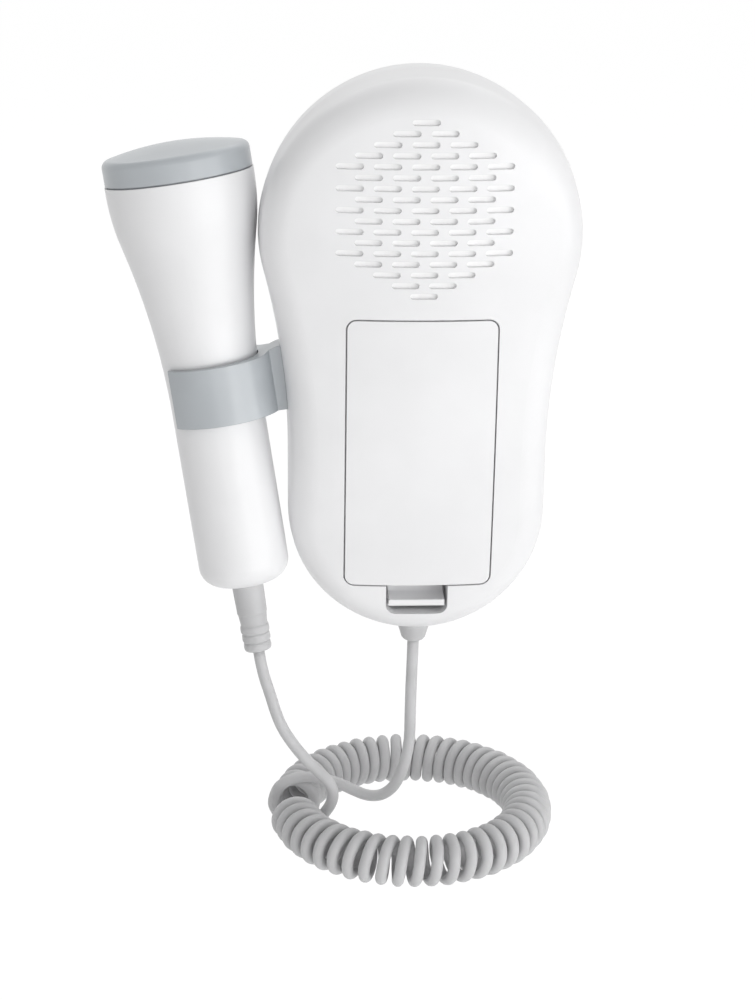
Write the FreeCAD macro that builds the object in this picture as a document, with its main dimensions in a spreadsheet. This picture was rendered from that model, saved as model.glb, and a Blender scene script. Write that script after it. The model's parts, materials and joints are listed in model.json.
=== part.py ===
import FreeCAD, Part
import math
import os

import Sketcher
from FreeCAD import Placement, Rotation, Vector

# Pocket fetal doppler: a pear-shaped hand unit, a probe in a side clip, and the curly cord that joins them.
# Millimetres. The unit stands upright: +Z up, rear (battery and loudspeaker) towards -Y, display towards +Y,
# probe on the -X side. Pieces are drawn with z = 0 at the unit's lowest point and then set so that the
# document's origin is the middle of the hand grip.

SIZES = {
    # hand unit, outline seen from behind
    "upper_radius": 37.2,        # round upper lobe
    "lower_half_width": 30.4,    # straight sides, and radius of the round lower end
    "neck_radius": 165.0,        # hollow flank between the two
    "half_thickness": 17.5,      # parting plane to the crest of either face
    "crown_across": 131.0,       # radius of the faces from side to side
    "crown_along": 514.0,        # radius of the faces from top to bottom
    "crest_drop": 3.0,           # crest of the faces below the centre of the upper lobe
    "rim_radius": 7.9,
    "wall_draft": 4.0,           # degrees, from the parting plane to the faces
    "wall": 2.0,
    "grip_height": 49.1,         # middle of the hand grip above the unit's lowest point
    "seam_gap": 0.35,            # between a lid, window or button and its opening
    "seat_gap": 0.3,             # between a loose piece and what it rests on
    # loudspeaker grille
    "grille_row_pitch": 2.44,
    "grille_column_pitch": 8.4,
    "slot_length": 6.2,
    "slot_width": 1.35,
    "grille_rows": 17,
    "grille_columns": 5,
    "grille_wall": 1.0,          # wall between the slots
    # loudspeaker
    "speaker_radius": 22.6,
    "speaker_rise": 8.0,         # loudspeaker above the centre of the upper lobe
    "speaker_gap": 1.4,          # between the battery cover and the loudspeaker's collar
    "speaker_fit": 0.2,          # between the loudspeaker and its collar
    "speaker_flange": 1.4,
    "speaker_depth": 6.2,
    "magnet_radius": 10.0,
    "magnet_depth": 3.6,
    "cloth": 0.35,
    "gasket_width": 2.4,
    "collar_wall": 1.2,
    # battery compartment
    "cell_radius": 7.25,
    "cell_length": 50.5,
    "cell_gap": 0.4,
    "cell_depth": 2.6,           # axis behind the parting plane
    "spring_room_low": 2.6,
    "spring_room_high": 2.5,
    "lid_bottom": 13.7,
    "lid_thickness": 1.7,
    "lid_corner": 2.2,
    "lid_overlap": 1.5,          # of the cover over the edge of the bay, at its sides and top
    "lid_overlap_low": 3.0,
    "bay_clearance": 0.9,        # beside the cells
    "bay_wall": 1.3,
    "bay_floor": 1.2,
    "partition": 1.2,            # web between the cells and the screw pockets
    "screw_pocket": 4.6,
    "contact_sheet": 0.4,
    "spring_wire": 0.3,          # radius
    "spring_wide": 4.0,
    "spring_narrow": 2.0,
    "contact_half_width": 5.0,
    "dimple_radius": 4.0,
    "dimple_tip_radius": 2.2,
    # tabs at the top of the battery cover
    "tab_offset": 10.25,
    "tab_half": 2.2,
    "tab_play": 0.35,
    "tab_thickness": 1.1,
    "tab_root": 2.9,             # foot of the tab below the cover's upper edge
    "tab_reach": 1.9,            # tab beyond that edge
    # latch of the battery cover
    "notch_corner": 2.3,
    "latch_half_width": 6.6,
    "latch_side_gap": 0.7,
    "latch_low_gap": 1.1,        # under the catch, for the cover's swing
    "latch_leg": 1.5,
    "latch_bend": 3.5,           # outer radius of the fold
    "latch_depth": 9.5,
    "latch_hook": 1.2,
    "pocket_wall": 1.0,
    # boards, display and keys
    "board_gap": 0.85,           # between the battery bay and the board
    "board_thickness": 1.6,
    "board_half_width": 21.5,
    "board_margin_high": 2.0,    # board above the window
    "board_margin_low": 12.0,    # board below the power key
    "window_half_width": 22.0,
    "window_drop": 18.0,         # lower edge below the centre of the upper lobe
    "window_height": 35.0,
    "window_corner": 4.0,
    "window_thickness": 1.2,
    "window_ledge": 2.4,
    "display_border": 1.6,
    "panel": 1.4,
    "power_radius": 6.5,
    "power_drop": 33.0,          # keys below the window's lower edge
    "key_radius": 4.5,
    "mode_drop": 14.0,
    "volume_drop": 22.0,
    "volume_offset": 14.0,
    "key_proud": 0.6,
    "key_travel": 0.5,
    "key_flange": 0.9,
    "switch_half_width": 3.0,
    "switch_body": 1.4,
    "switch_stem": 0.5,
    # earphone socket
    "socket_bore": 1.8,
    "socket_length": 14.0,
    "socket_half_width": 2.9,
    # shell screws
    "screw_offset": 11.0,
    "screw_head_radius": 2.0,
    "screw_head": 1.3,
    "screw_radius": 1.0,
    "screw_length": 7.0,
    "boss_radius": 2.6,
    "boss_step": 1.0,            # shoulder that carries the board
    "post_radius": 1.8,
    # cord outlet of the unit
    "gland_radius": 3.9,
    "gland_tip_radius": 2.9,
    "gland_length": 4.1,
    "gland_seat": 0.9,           # the gland sits this deep in the housing
    "gland_flange": 1.2,
    "gland_flange_step": 0.4,
    "neck_fit": 2.5,
    # probe clip
    "clip_reach": 16.17,         # from the unit's straight side to the axis of the probe
    "clip_height": 53.1,
    "lean_left": 8.85,
    "lean_back": 5.5,
    "clip_clearance": 0.75,      # round the handle
    "clip_wall": 2.0,
    "clip_taper": 1.3,           # the clip thins towards its tips
    "clip_mouth_rear": 144.0,    # the clip reaches this far round behind the handle
    "clip_mouth_front": 62.0,
    "clip_low": -0.7,
    "clip_high": 13.0,
    "arm_rise": 1.4,             # the arm's upper edge climbs this much to the unit
    "arm_blend": 6.0,
    "arm_half_width": 4.5,
    "tongue_half": 1.2,          # half thickness of the tongue held between the covers
    "tongue_low": 3.0,           # ends of the tongue above the foot of the clip
    "tongue_high": 14.0,
    "tongue_head": 1.2,
    # probe
    "handle_radius": 10.75,
    "head_radius": 17.25,
    "waist_radius": 170.0,
    "shoulder_radius": 50.0,
    "shoulder_height": 54.1,
    "probe_bottom": -41.2,
    "head_length": 1.9,          # straight stretch between the shoulder and the seam
    "probe_end_radius": 4.8,
    "probe_wall": 1.8,
    "seal": 0.35,
    "cap_side": 5.4,
    "cap_dome": 2.2,
    "cap_rim": 1.8,
    "cap_wall": 1.6,
    "cap_skirt": 2.0,            # the cap plugs this far into the head
    "skirt_wall": 1.3,
    "crystal": 1.0,
    "crystal_kerf": 0.6,
    "crystal_radius": 12.0,
    "backing": 5.8,
    "carrier": 1.2,
    "probe_board": 1.2,
    "probe_board_length": 60.0,
    # strain relief at the probe's lower end: a collar, a cone and soft bands
    "relief_neck": 2.8,
    "relief_flange": 1.6,
    "relief_radius": 3.8,
    "relief_lip_radius": 3.6,
    "relief_collar": 8.0,
    "relief_cone": 2.9,
    "relief_band": 2.13,
    "relief_band_radius": 3.5,
    "relief_groove": 0.3,
    "relief_taper": 0.09,        # each band is this much slimmer than the one before
    # cord
    "cord_radius": 1.4,
    "coil_radius": 28.8,
    "coil_tube": 6.06,
    "coil_height": -47.3,
    "coil_x": -0.4,
    "coil_y": -5.0,
    "coil_gap": 15.0,            # open angle between the two ends of the coil
}


class Size:
    """A number and the spreadsheet formula that gives it."""

    def __init__(self, value, text):
        self.value = float(value)
        self.text = text

    def __add__(self, other):
        other = size(other)
        return Size(self.value + other.value, f"({self.text} + {other.text})")

    def __sub__(self, other):
        other = size(other)
        return Size(self.value - other.value, f"({self.text} - {other.text})")

    def __mul__(self, other):
        other = size(other)
        return Size(self.value * other.value, f"({self.text} * {other.text})")

    def __truediv__(self, other):
        other = size(other)
        return Size(self.value / other.value, f"({self.text} / {other.text})")

    def __radd__(self, other):
        return size(other) + self

    def __rsub__(self, other):
        return size(other) - self

    def __rmul__(self, other):
        return size(other) * self

    def __neg__(self):
        return Size(-self.value, f"(0 - {self.text})")

    def root(self):
        return Size(math.sqrt(self.value), f"sqrt({self.text})")


def size(number):
    return number if isinstance(number, Size) else Size(number, repr(float(number)))


def mm(number):
    return size(number).value


class Named:
    """The sizes of the table, and those worked out from them, each under its own name."""


DOC = FreeCAD.newDocument("fetal_doppler")
SHEET = DOC.addObject("Spreadsheet::Sheet", "Sizes")
P = Named()
for row, (alias, number) in enumerate(SIZES.items(), start=1):
    SHEET.set(f"A{row}", alias)
    SHEET.set(f"B{row}", str(number))
    SHEET.setAlias(f"B{row}", alias)
    setattr(P, alias, Size(number, f"Sizes.{alias}"))
DOC.recompute()

# The battery cells set the bay and its cover; the loudspeaker stands above the cover, in the upper lobe.
P.cell_spacing = P.cell_radius * 2 + P.cell_gap
P.bay_half_width = P.cell_spacing / 2 + P.cell_radius + P.bay_clearance
P.lid_half_width = P.bay_half_width + P.lid_overlap
P.bay_bottom = P.lid_bottom + P.lid_overlap_low
P.cell_bottom = P.bay_bottom + P.spring_room_low
P.cells_top = P.cell_bottom + P.cell_length
P.cell_space_top = P.cells_top + P.spring_room_high
P.bay_top = P.cell_space_top + P.partition + P.screw_pocket
P.lid_top = P.bay_top + P.lid_overlap
P.collar_radius = P.speaker_radius + P.speaker_fit
P.speaker_height = P.lid_top + P.speaker_gap + P.collar_radius + P.collar_wall
P.grille_top = P.speaker_height + P.grille_row_pitch * (P.grille_rows - 1) / 2
P.upper_centre = P.speaker_height - P.speaker_rise
P.unit_height = P.upper_centre + P.upper_radius
P.crest_height = P.upper_centre - P.crest_drop
# The floor of the bay carries the stack of board, display and keys.
P.floor_rear = P.cell_radius - P.cell_depth + P.seat_gap
P.floor_front = P.floor_rear + P.bay_floor
P.board_rear = P.floor_front + P.board_gap
P.board_front = P.board_rear + P.board_thickness
P.window_bottom = P.upper_centre - P.window_drop
P.window_top = P.window_bottom + P.window_height
P.power_height = P.window_bottom - P.power_drop
P.board_bottom = P.power_height - P.board_margin_low
P.board_top = P.window_top + P.board_margin_high
# The latch folds back under the cover's lower edge, into the finger notch.
P.latch_low = P.lid_bottom + P.latch_leg - P.latch_bend * 2
P.notch_bottom = P.latch_low - P.latch_hook - P.latch_low_gap
P.notch_half_width = P.latch_half_width + P.latch_side_gap
# The clip holds the probe's handle beside the unit.
P.clip_bore = P.handle_radius + P.clip_clearance
P.clip_x = -(P.lower_half_width + P.clip_reach)
P.probe_seam = P.shoulder_height + P.head_length

UNIT = Placement(Vector(0, 0, -mm(P.grip_height)), Rotation())
LEAN = Vector(-math.tan(math.radians(mm(P.lean_left))), math.tan(math.radians(mm(P.lean_back))), 1)
PROBE = Placement(
    Vector(mm(P.clip_x), 0, mm(P.clip_height - P.grip_height)), Rotation(Vector(0, 0, 1), LEAN)
)
NODES = {}


# ---- sketches -------------------------------------------------------------------------------------------


def bind(thing, prop, number):
    """Ties a property to its formula in the spreadsheet."""
    thing.setExpression(prop, size(number).text)


def constrain(sketch, kind, *where, to=None):
    if to is None:
        return sketch.addConstraint(Sketcher.Constraint(kind, *where))
    index = sketch.addConstraint(Sketcher.Constraint(kind, *where, mm(to)))
    sketch.setExpression(f"Constraints[{index}]", size(to).text)
    return index


def place_point(sketch, geometry, point, x, y):
    """Holds one point of a sketch at x, y; a bare zero puts it on the axis."""
    for value, kind, axis in ((x, "DistanceX", -2), (y, "DistanceY", -1)):
        if isinstance(value, (int, float)) and value == 0:
            constrain(sketch, "PointOnObject", geometry, point, axis)
        else:
            constrain(sketch, kind, -1, 1, geometry, point, to=value)


def polygon(sketch, corners):
    first = sketch.GeometryCount
    count = len(corners)
    points = [Vector(mm(x), mm(y), 0) for x, y in corners]
    for i in range(count):
        sketch.addGeometry(Part.LineSegment(points[i], points[(i + 1) % count]), False)
    for i in range(count):
        constrain(sketch, "Coincident", first + i, 2, first + (i + 1) % count, 1)
    for i, (x, y) in enumerate(corners):
        place_point(sketch, first + i, 1, x, y)


def circle(sketch, x, y, radius):
    made = sketch.addGeometry(Part.Circle(Vector(mm(x), mm(y), 0), Vector(0, 0, 1), mm(radius)), False)
    place_point(sketch, made, 3, x, y)
    constrain(sketch, "Radius", made, to=radius)


def arc(sketch, x, y, radius, start, end):
    """An arc by its centre, radius and its two angles in degrees, counter-clockwise."""
    ring = Part.Circle(Vector(mm(x), mm(y), 0), Vector(0, 0, 1), mm(radius))
    return sketch.addGeometry(Part.ArcOfCircle(ring, math.radians(start), math.radians(end)), False)


def line(sketch, x0, y0, x1, y1):
    return sketch.addGeometry(Part.LineSegment(Vector(mm(x0), mm(y0), 0), Vector(mm(x1), mm(y1), 0)), False)


def rounded_box(sketch, left, right, low, high, corner):
    """A rectangle with round corners: lines 0, 2, 4, 6 and arcs 1, 3, 5, 7 after the first."""
    f = sketch.GeometryCount
    line(sketch, left + corner, low, right - corner, low)
    arc(sketch, right - corner, low + corner, corner, 270, 360)
    line(sketch, right, low + corner, right, high - corner)
    arc(sketch, right - corner, high - corner, corner, 0, 90)
    line(sketch, right - corner, high, left + corner, high)
    arc(sketch, left + corner, high - corner, corner, 90, 180)
    line(sketch, left, high - corner, left, low + corner)
    arc(sketch, left + corner, low + corner, corner, 180, 270)
    for i in range(8):
        constrain(sketch, "Tangent", f + i, 2, f + (i + 1) % 8, 1)
    for i, kind in ((0, "Horizontal"), (2, "Vertical"), (4, "Horizontal"), (6, "Vertical")):
        constrain(sketch, kind, f + i)
    for i in (3, 5, 7):
        constrain(sketch, "Equal", f + 1, f + i)
    constrain(sketch, "Radius", f + 1, to=corner)
    constrain(sketch, "DistanceY", -1, 1, f, 1, to=low)
    constrain(sketch, "DistanceX", -1, 1, f + 2, 1, to=right)
    constrain(sketch, "DistanceY", -1, 1, f + 4, 1, to=high)
    constrain(sketch, "DistanceX", -1, 1, f + 6, 1, to=left)


# ---- features -------------------------------------------------------------------------------------------


def new_body(name, frame=UNIT):
    body = DOC.addObject("PartDesign::Body", name)
    body.Placement = frame
    return body


def new_sketch(body, plane, out=0, across=0):
    """A sketch on one of the body's own origin planes, moved out along its normal or across it."""
    sketch = body.newObject("Sketcher::SketchObject", body.Name + "_sketch")
    base = [f for f in body.Origin.OriginFeatures if f.Role == plane][0]
    sketch.AttachmentSupport = (base, [""])
    sketch.MapMode = "FlatFace"
    bind(sketch, "AttachmentOffset.Base.z", out)
    bind(sketch, "AttachmentOffset.Base.x", across)
    return sketch


def pad(body, sketch, length, reverse=False):
    made = body.newObject("PartDesign::Pad", body.Name + "_pad")
    made.Profile = sketch
    made.Reversed = reverse
    bind(made, "Length", length)
    return made


def revolve(body, sketch, kind="Revolution", angle=360):
    """Turns a sketch about its own upright axis."""
    made = body.newObject("PartDesign::" + kind, body.Name + "_turn")
    made.Profile = sketch
    made.ReferenceAxis = (sketch, ["V_Axis"])
    made.Angle = angle
    made.Midplane = angle < 360
    return made


def block(name, left, right, rear, front, low, high):
    """A box between six faces of the unit."""
    box = DOC.addObject("Part::Box", name)
    bind(box, "Length", right - left)
    bind(box, "Width", front - rear)
    bind(box, "Height", high - low)
    bind(box, "Placement.Base.x", left)
    bind(box, "Placement.Base.y", rear)
    bind(box, "Placement.Base.z", low - P.grip_height)
    return box


def prism(name, rear, front, draw):
    """A flat outline, drawn from behind, that reaches from y = rear to y = front."""
    body = new_body(name)
    sketch = new_sketch(body, "XZ_Plane", out=-front)
    draw(sketch)
    pad(body, sketch, front - rear)
    return body


def turned(name, corners, frame=UNIT):
    """A turned piece: a closed outline of radius and height about the frame's own Z."""
    body = new_body(name, frame)
    sketch = new_sketch(body, "XZ_Plane")
    polygon(sketch, corners)
    revolve(body, sketch)
    return body


def across_frame(x, y, z):
    """A frame whose own Z looks to the front of the unit."""
    return Placement(Vector(mm(x), mm(y), mm(z - P.grip_height)), Rotation(Vector(1, 0, 0), -90))


def cut(name, base, *tools):
    made = DOC.addObject("Part::Cut", name)
    made.Base = base
    made.Tool = tools[0] if len(tools) == 1 else fuse(name + "_tools", *tools)
    return made


def fuse(name, *parts):
    made = DOC.addObject("Part::MultiFuse", name)
    made.Shapes = list(parts)
    return made


def common(name, *parts):
    made = DOC.addObject("Part::MultiCommon", name)
    made.Shapes = list(parts)
    return made


def together(name, *parts):
    """Separate solids that share one node."""
    made = DOC.addObject("Part::Compound", name)
    made.Links = list(parts)
    return made


def solid(name, shape, frame=UNIT):
    made = DOC.addObject("Part::Feature", name)
    made.Shape = shape
    made.Placement = frame
    return made


def node(name, made):
    made.Label = name
    NODES[name] = made
    return made


# ---- forms of the hand unit -----------------------------------------------------------------------------


def crown(x, z, inset=0):
    """Distance of a face from the parting plane at x, z, a given depth under the skin."""
    along = (P.crown_along - inset) * (P.crown_along - inset) - (z - P.crest_height) * (z - P.crest_height)
    radius = P.crown_across - P.crown_along + along.root()
    across = radius * radius - size(x) * x
    return across.root() - (P.crown_across - P.half_thickness)


def outline(sketch, inset):
    """The pear shape from behind, a given depth under the skin."""
    reach = P.upper_radius + P.neck_radius
    side = P.lower_half_width + P.neck_radius
    drop = (reach * reach - side * side).root()
    neck = P.upper_centre - drop
    turn = math.degrees(math.asin(mm(drop / reach)))
    top = arc(sketch, 0, P.upper_centre, P.upper_radius - inset, -turn, 180 + turn)
    left = arc(sketch, -side, neck, P.neck_radius + inset, 0, turn)
    edge = P.lower_half_width - inset
    down = line(sketch, -edge, neck, -edge, P.lower_half_width)
    bottom = arc(sketch, 0, P.lower_half_width, edge, 180, 360)
    up = line(sketch, edge, P.lower_half_width, edge, neck)
    right = arc(sketch, side, neck, P.neck_radius + inset, 180 - turn, 180)
    constrain(sketch, "Tangent", top, 2, left, 2)
    constrain(sketch, "Tangent", left, 1, down, 1)
    constrain(sketch, "Tangent", down, 2, bottom, 1)
    constrain(sketch, "Tangent", bottom, 2, up, 1)
    constrain(sketch, "Tangent", up, 2, right, 2)
    constrain(sketch, "Tangent", right, 1, top, 1)
    constrain(sketch, "Vertical", down)
    constrain(sketch, "Vertical", up)
    place_point(sketch, top, 3, 0, P.upper_centre)
    place_point(sketch, bottom, 3, 0, P.lower_half_width)
    constrain(sketch, "Radius", top, to=P.upper_radius - inset)
    constrain(sketch, "Radius", bottom, to=edge)
    constrain(sketch, "Radius", left, to=P.neck_radius + inset)
    constrain(sketch, "Equal", left, right)


def crown_profile(sketch, side, inset):
    """What lies outside a crowned face, drawn about the upright axis of the crown. side is -1 at the rear."""
    low, high = size(-8.0), P.unit_height + 8.0
    outside = side * (P.crown_across + 12.0)
    radius = P.crown_along - inset
    centre = side * (P.crown_across - P.crown_along)
    fall = [math.degrees(math.asin(mm((z - P.crest_height) / radius))) for z in (low, high)]
    if side < 0:
        face = arc(sketch, centre, P.crest_height, radius, 180 - fall[1], 180 - fall[0])
        low_end, high_end = 2, 1
    else:
        face = arc(sketch, centre, P.crest_height, radius, fall[0], fall[1])
        low_end, high_end = 1, 2
    reach = [side * mm(crown(0, z, inset) + P.crown_across - P.half_thickness) for z in (low, high)]
    top = line(sketch, reach[1], high, outside, high)
    back = line(sketch, outside, high, outside, low)
    base = line(sketch, outside, low, reach[0], low)
    constrain(sketch, "Coincident", face, high_end, top, 1)
    constrain(sketch, "Coincident", top, 2, back, 1)
    constrain(sketch, "Coincident", back, 2, base, 1)
    constrain(sketch, "Coincident", base, 2, face, low_end)
    constrain(sketch, "Horizontal", top)
    constrain(sketch, "Horizontal", base)
    constrain(sketch, "Vertical", back)
    place_point(sketch, face, 3, centre, P.crest_height)
    constrain(sketch, "Radius", face, to=radius)
    constrain(sketch, "DistanceY", -1, 1, face, low_end, to=low)
    constrain(sketch, "DistanceY", -1, 1, face, high_end, to=high)
    constrain(sketch, "DistanceX", -1, 1, back, 1, to=outside)


def half_form(name, side, inset=0, rim=True, beyond=0):
    """One half of the unit as a solid, a given depth under the skin; side is -1 at the rear, +1 in front."""
    body = new_body(name)
    sketch = new_sketch(body, "XZ_Plane", out=side * size(beyond))
    outline(sketch, inset)
    walls = pad(body, sketch, P.half_thickness + 5.0 + beyond, reverse=side > 0)
    bind(walls, "TaperAngle", -P.wall_draft)
    sketch = new_sketch(body, "YZ_Plane", across=-side * (P.crown_across - P.half_thickness))
    crown_profile(sketch, side, inset)
    face = revolve(body, sketch, "Groove", angle=60)
    if rim:
        DOC.recompute()
        edges = []
        for number, edge in enumerate(face.Shape.Edges, start=1):
            ends = [edge.valueAt(t) for t in (edge.FirstParameter, edge.LastParameter)]
            along = abs(ends[0].y - ends[1].y) < 0.5 * edge.Length
            if along and min(side * p.y for p in ends) > 1.0:
                edges.append(f"Edge{number}")
        rounding = body.newObject("PartDesign::Fillet", name + "_rim")
        rounding.Base = (face, edges)
        bind(rounding, "Radius", P.rim_radius - inset)
    return body


REAR, FRONT = -1, 1
FAR = P.half_thickness + 6.0

rear_outer = half_form("rear_outer", REAR)
rear_inner = half_form("rear_inner", REAR, P.wall)
front_outer = half_form("front_outer", FRONT)
front_inner = half_form("front_inner", FRONT, P.wall)


def sheet_under(name, side, top, thickness, draw):
    """A plate that follows the face: an outline seen from behind, between two depths under the skin."""
    blank = prism(name + "_blank", -FAR if side < 0 else 0, size(0) if side < 0 else FAR, draw)
    upper = half_form(name + "_upper", side, top, rim=False)
    lower = half_form(name + "_lower", side, top + thickness, rim=False)
    return cut(name, common(name + "_plate", blank, upper), lower)


def mirrored_pair(make, offset):
    """The same piece on the left and on the right."""
    return [make("left", -offset), make("right", offset)]


# ---- loudspeaker ----------------------------------------------------------------------------------------


def grille_slots():
    """Rows of round-ended slots; the rows grow by one slot to the full width, then alternate, then shrink."""
    radius = mm(P.slot_width) / 2
    half = mm(P.slot_length) / 2 - radius
    rows, columns = int(mm(P.grille_rows)), int(mm(P.grille_columns))
    start, depth = -mm(FAR), mm(FAR - P.half_thickness + P.wall * 3)
    slots = []
    for row in range(rows):
        count = min(row + 1, rows - row, columns - row % 2)
        z = mm(P.grille_top) - row * mm(P.grille_row_pitch)
        for place in range(count):
            x = (place - (count - 1) / 2) * mm(P.grille_column_pitch)
            corner = [
                Vector(x + a * half, start, z + b * radius) for a, b in ((-1, 1), (1, 1), (1, -1), (-1, -1))
            ]
            ends = [Vector(x + a * (half + radius), start, z) for a in (1, -1)]
            wire = Part.Wire(
                [
                    Part.LineSegment(corner[0], corner[1]).toShape(),
                    Part.Arc(corner[1], ends[0], corner[2]).toShape(),
                    Part.LineSegment(corner[2], corner[3]).toShape(),
                    Part.Arc(corner[3], ends[1], corner[0]).toShape(),
                ]
            )
            slots.append(Part.Face(wire).extrude(Vector(0, depth, 0)))
    return Part.makeCompound(slots)


def ring_outline(x, z, outer, inner=None):
    def draw(sketch):
        circle(sketch, x, z, outer)
        if inner is not None:
            circle(sketch, x, z, inner)

    return draw


# behind the grille the wall is thin, and the cloth lies in the recess
grille_recess = sheet_under(
    "grille_recess",
    REAR,
    P.grille_wall,
    P.wall - P.grille_wall + 0.2,
    ring_outline(0, P.speaker_height, P.collar_radius),
)
node(
    "speaker_dust_cloth",
    sheet_under(
        "speaker_dust_cloth",
        REAR,
        P.grille_wall,
        P.cloth,
        ring_outline(0, P.speaker_height, P.speaker_radius),
    ),
)

speaker_face = crown(P.speaker_radius, P.speaker_height, P.grille_wall + P.cloth) - 0.6
gasket_under = half_form("gasket_under", REAR, P.grille_wall + P.cloth, rim=False)
gasket_blank = prism(
    "gasket_blank",
    -FAR,
    -speaker_face,
    ring_outline(0, P.speaker_height, P.speaker_radius, P.speaker_radius - P.gasket_width),
)
node("speaker_gasket", common("speaker_gasket", gasket_blank, gasket_under))

SPEAKER = across_frame(0, -speaker_face, P.speaker_height)
lip = P.speaker_radius - P.gasket_width - 1.4
base_radius = P.magnet_radius + 0.8
node(
    "speaker_frame",
    turned(
        "speaker_frame",
        [
            (lip, 0),
            (P.speaker_radius - 0.2, 0),
            (P.speaker_radius - 0.2, P.speaker_flange),
            (lip + 0.8, P.speaker_flange),
            (base_radius, P.speaker_depth),
            (4.0, P.speaker_depth),
            (4.0, P.speaker_depth - 0.6),
            (base_radius - 0.4, P.speaker_depth - 0.6),
            (lip, P.speaker_flange - 0.5),
        ],
        SPEAKER,
    ),
)
node(
    "speaker_cone",
    turned(
        "speaker_cone",
        [
            (0, 3.0),
            (4.6, 3.9),
            (lip - 1.8, 0.3),
            (lip, 0.3),
            (lip, 0.7),
            (lip - 1.6, 0.7),
            (5.2, 4.9),
            (0, 4.9),
        ],
        SPEAKER,
    ),
)
node(
    "speaker_magnet",
    turned(
        "speaker_magnet",
        [
            (0, P.speaker_depth),
            (P.magnet_radius, P.speaker_depth),
            (P.magnet_radius, P.speaker_depth + P.magnet_depth),
            (0, P.speaker_depth + P.magnet_depth),
        ],
        SPEAKER,
    ),
)
collar = common(
    "speaker_collar",
    prism(
        "collar_blank",
        -FAR,
        P.speaker_flange - speaker_face,
        ring_outline(0, P.speaker_height, P.collar_radius + P.collar_wall, P.collar_radius),
    ),
    rear_inner,
)


# ---- battery compartment --------------------------------------------------------------------------------


def lid_outline(grow):
    def draw(sketch):
        rounded_box(
            sketch,
            -P.lid_half_width - grow,
            P.lid_half_width + grow,
            P.lid_bottom - grow,
            P.lid_top + grow,
            P.lid_corner + grow,
        )

    return draw


def notch_outline(sketch):
    rounded_box(
        sketch,
        -P.notch_half_width,
        P.notch_half_width,
        P.notch_bottom,
        P.bay_bottom - P.bay_wall,
        P.notch_corner,
    )


ledge = sheet_under("bay_ledge", REAR, P.wall, P.bay_wall, lid_outline(1.6))
tub_blank = block(
    "tub_blank",
    -P.bay_half_width - P.bay_wall,
    P.bay_half_width + P.bay_wall,
    -FAR,
    P.floor_front,
    P.bay_bottom - P.bay_wall,
    P.bay_top + P.bay_wall,
)
tub_form = half_form("tub_form", REAR, P.wall, rim=False, beyond=P.floor_front + 1.0)
tub = common("bay_tub", tub_blank, tub_form)
screw_height = P.bay_top - P.screw_pocket / 2
cell_space = block(
    "cell_space", -P.bay_half_width, P.bay_half_width, -FAR, P.floor_rear, P.bay_bottom, P.cell_space_top
)
screw_space = block(
    "screw_space",
    -P.bay_half_width,
    P.bay_half_width,
    -FAR,
    P.floor_rear,
    P.cell_space_top + P.partition,
    P.bay_top,
)
bend_height = P.latch_low + P.latch_bend
bend_front = P.latch_depth - crown(0, bend_height)
bend_y = bend_front - P.latch_bend
pocket_floor = bend_front + 0.5
pocket = common(
    "latch_pocket",
    block(
        "pocket_blank",
        -P.notch_half_width - P.pocket_wall,
        P.notch_half_width + P.pocket_wall,
        -FAR,
        pocket_floor + P.pocket_wall,
        P.notch_bottom - P.pocket_wall,
        P.bay_bottom,
    ),
    half_form("pocket_form", REAR, P.wall, rim=True, beyond=2.0),
)
pocket_space = block(
    "pocket_space",
    -P.notch_half_width,
    P.notch_half_width,
    -FAR,
    pocket_floor,
    P.notch_bottom + P.notch_corner,
    P.bay_bottom - P.bay_wall,
)
pocket_foot = prism("pocket_foot", -FAR, pocket_floor, notch_outline)

tab_depth = P.wall + 0.2
tab_skin = crown(P.tab_offset + P.tab_half, P.lid_top, 0)


def tab_slot(side, x):
    return block(
        f"tab_slot_{side}",
        x - P.tab_half - P.tab_play,
        x + P.tab_half + P.tab_play,
        -tab_skin + P.wall - 0.8,
        -tab_skin + tab_depth + P.tab_thickness + 1.0,
        P.lid_top - P.tab_root - 0.5,
        P.lid_top + P.tab_reach + 0.5,
    )


def lid_tab(side, x):
    root = block(
        f"tab_root_{side}",
        x - P.tab_half,
        x + P.tab_half,
        -tab_skin + P.lid_thickness - 0.6,
        -tab_skin + tab_depth + P.tab_thickness,
        P.lid_top - P.tab_root,
        P.lid_top - 0.2,
    )
    tongue = block(
        f"tab_tongue_{side}",
        x - P.tab_half,
        x + P.tab_half,
        -tab_skin + tab_depth,
        -tab_skin + tab_depth + P.tab_thickness,
        P.lid_top - 0.6,
        P.lid_top + P.tab_reach,
    )
    return fuse(f"lid_tab_{side}", root, tongue)


tab_slots = mirrored_pair(tab_slot, P.tab_offset)
lid_tabs = mirrored_pair(lid_tab, P.tab_offset)
lid_plate = sheet_under("lid_plate", REAR, size(0), P.lid_thickness, lid_outline(size(0)))
lid_leg = block(
    "lid_leg",
    -P.latch_half_width,
    P.latch_half_width,
    -crown(0, P.lid_bottom, P.lid_thickness * 0.6),
    bend_y,
    P.lid_bottom,
    P.lid_bottom + P.latch_leg,
)
node("battery_cover", fuse("battery_cover", lid_plate, lid_leg, *lid_tabs))


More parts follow.
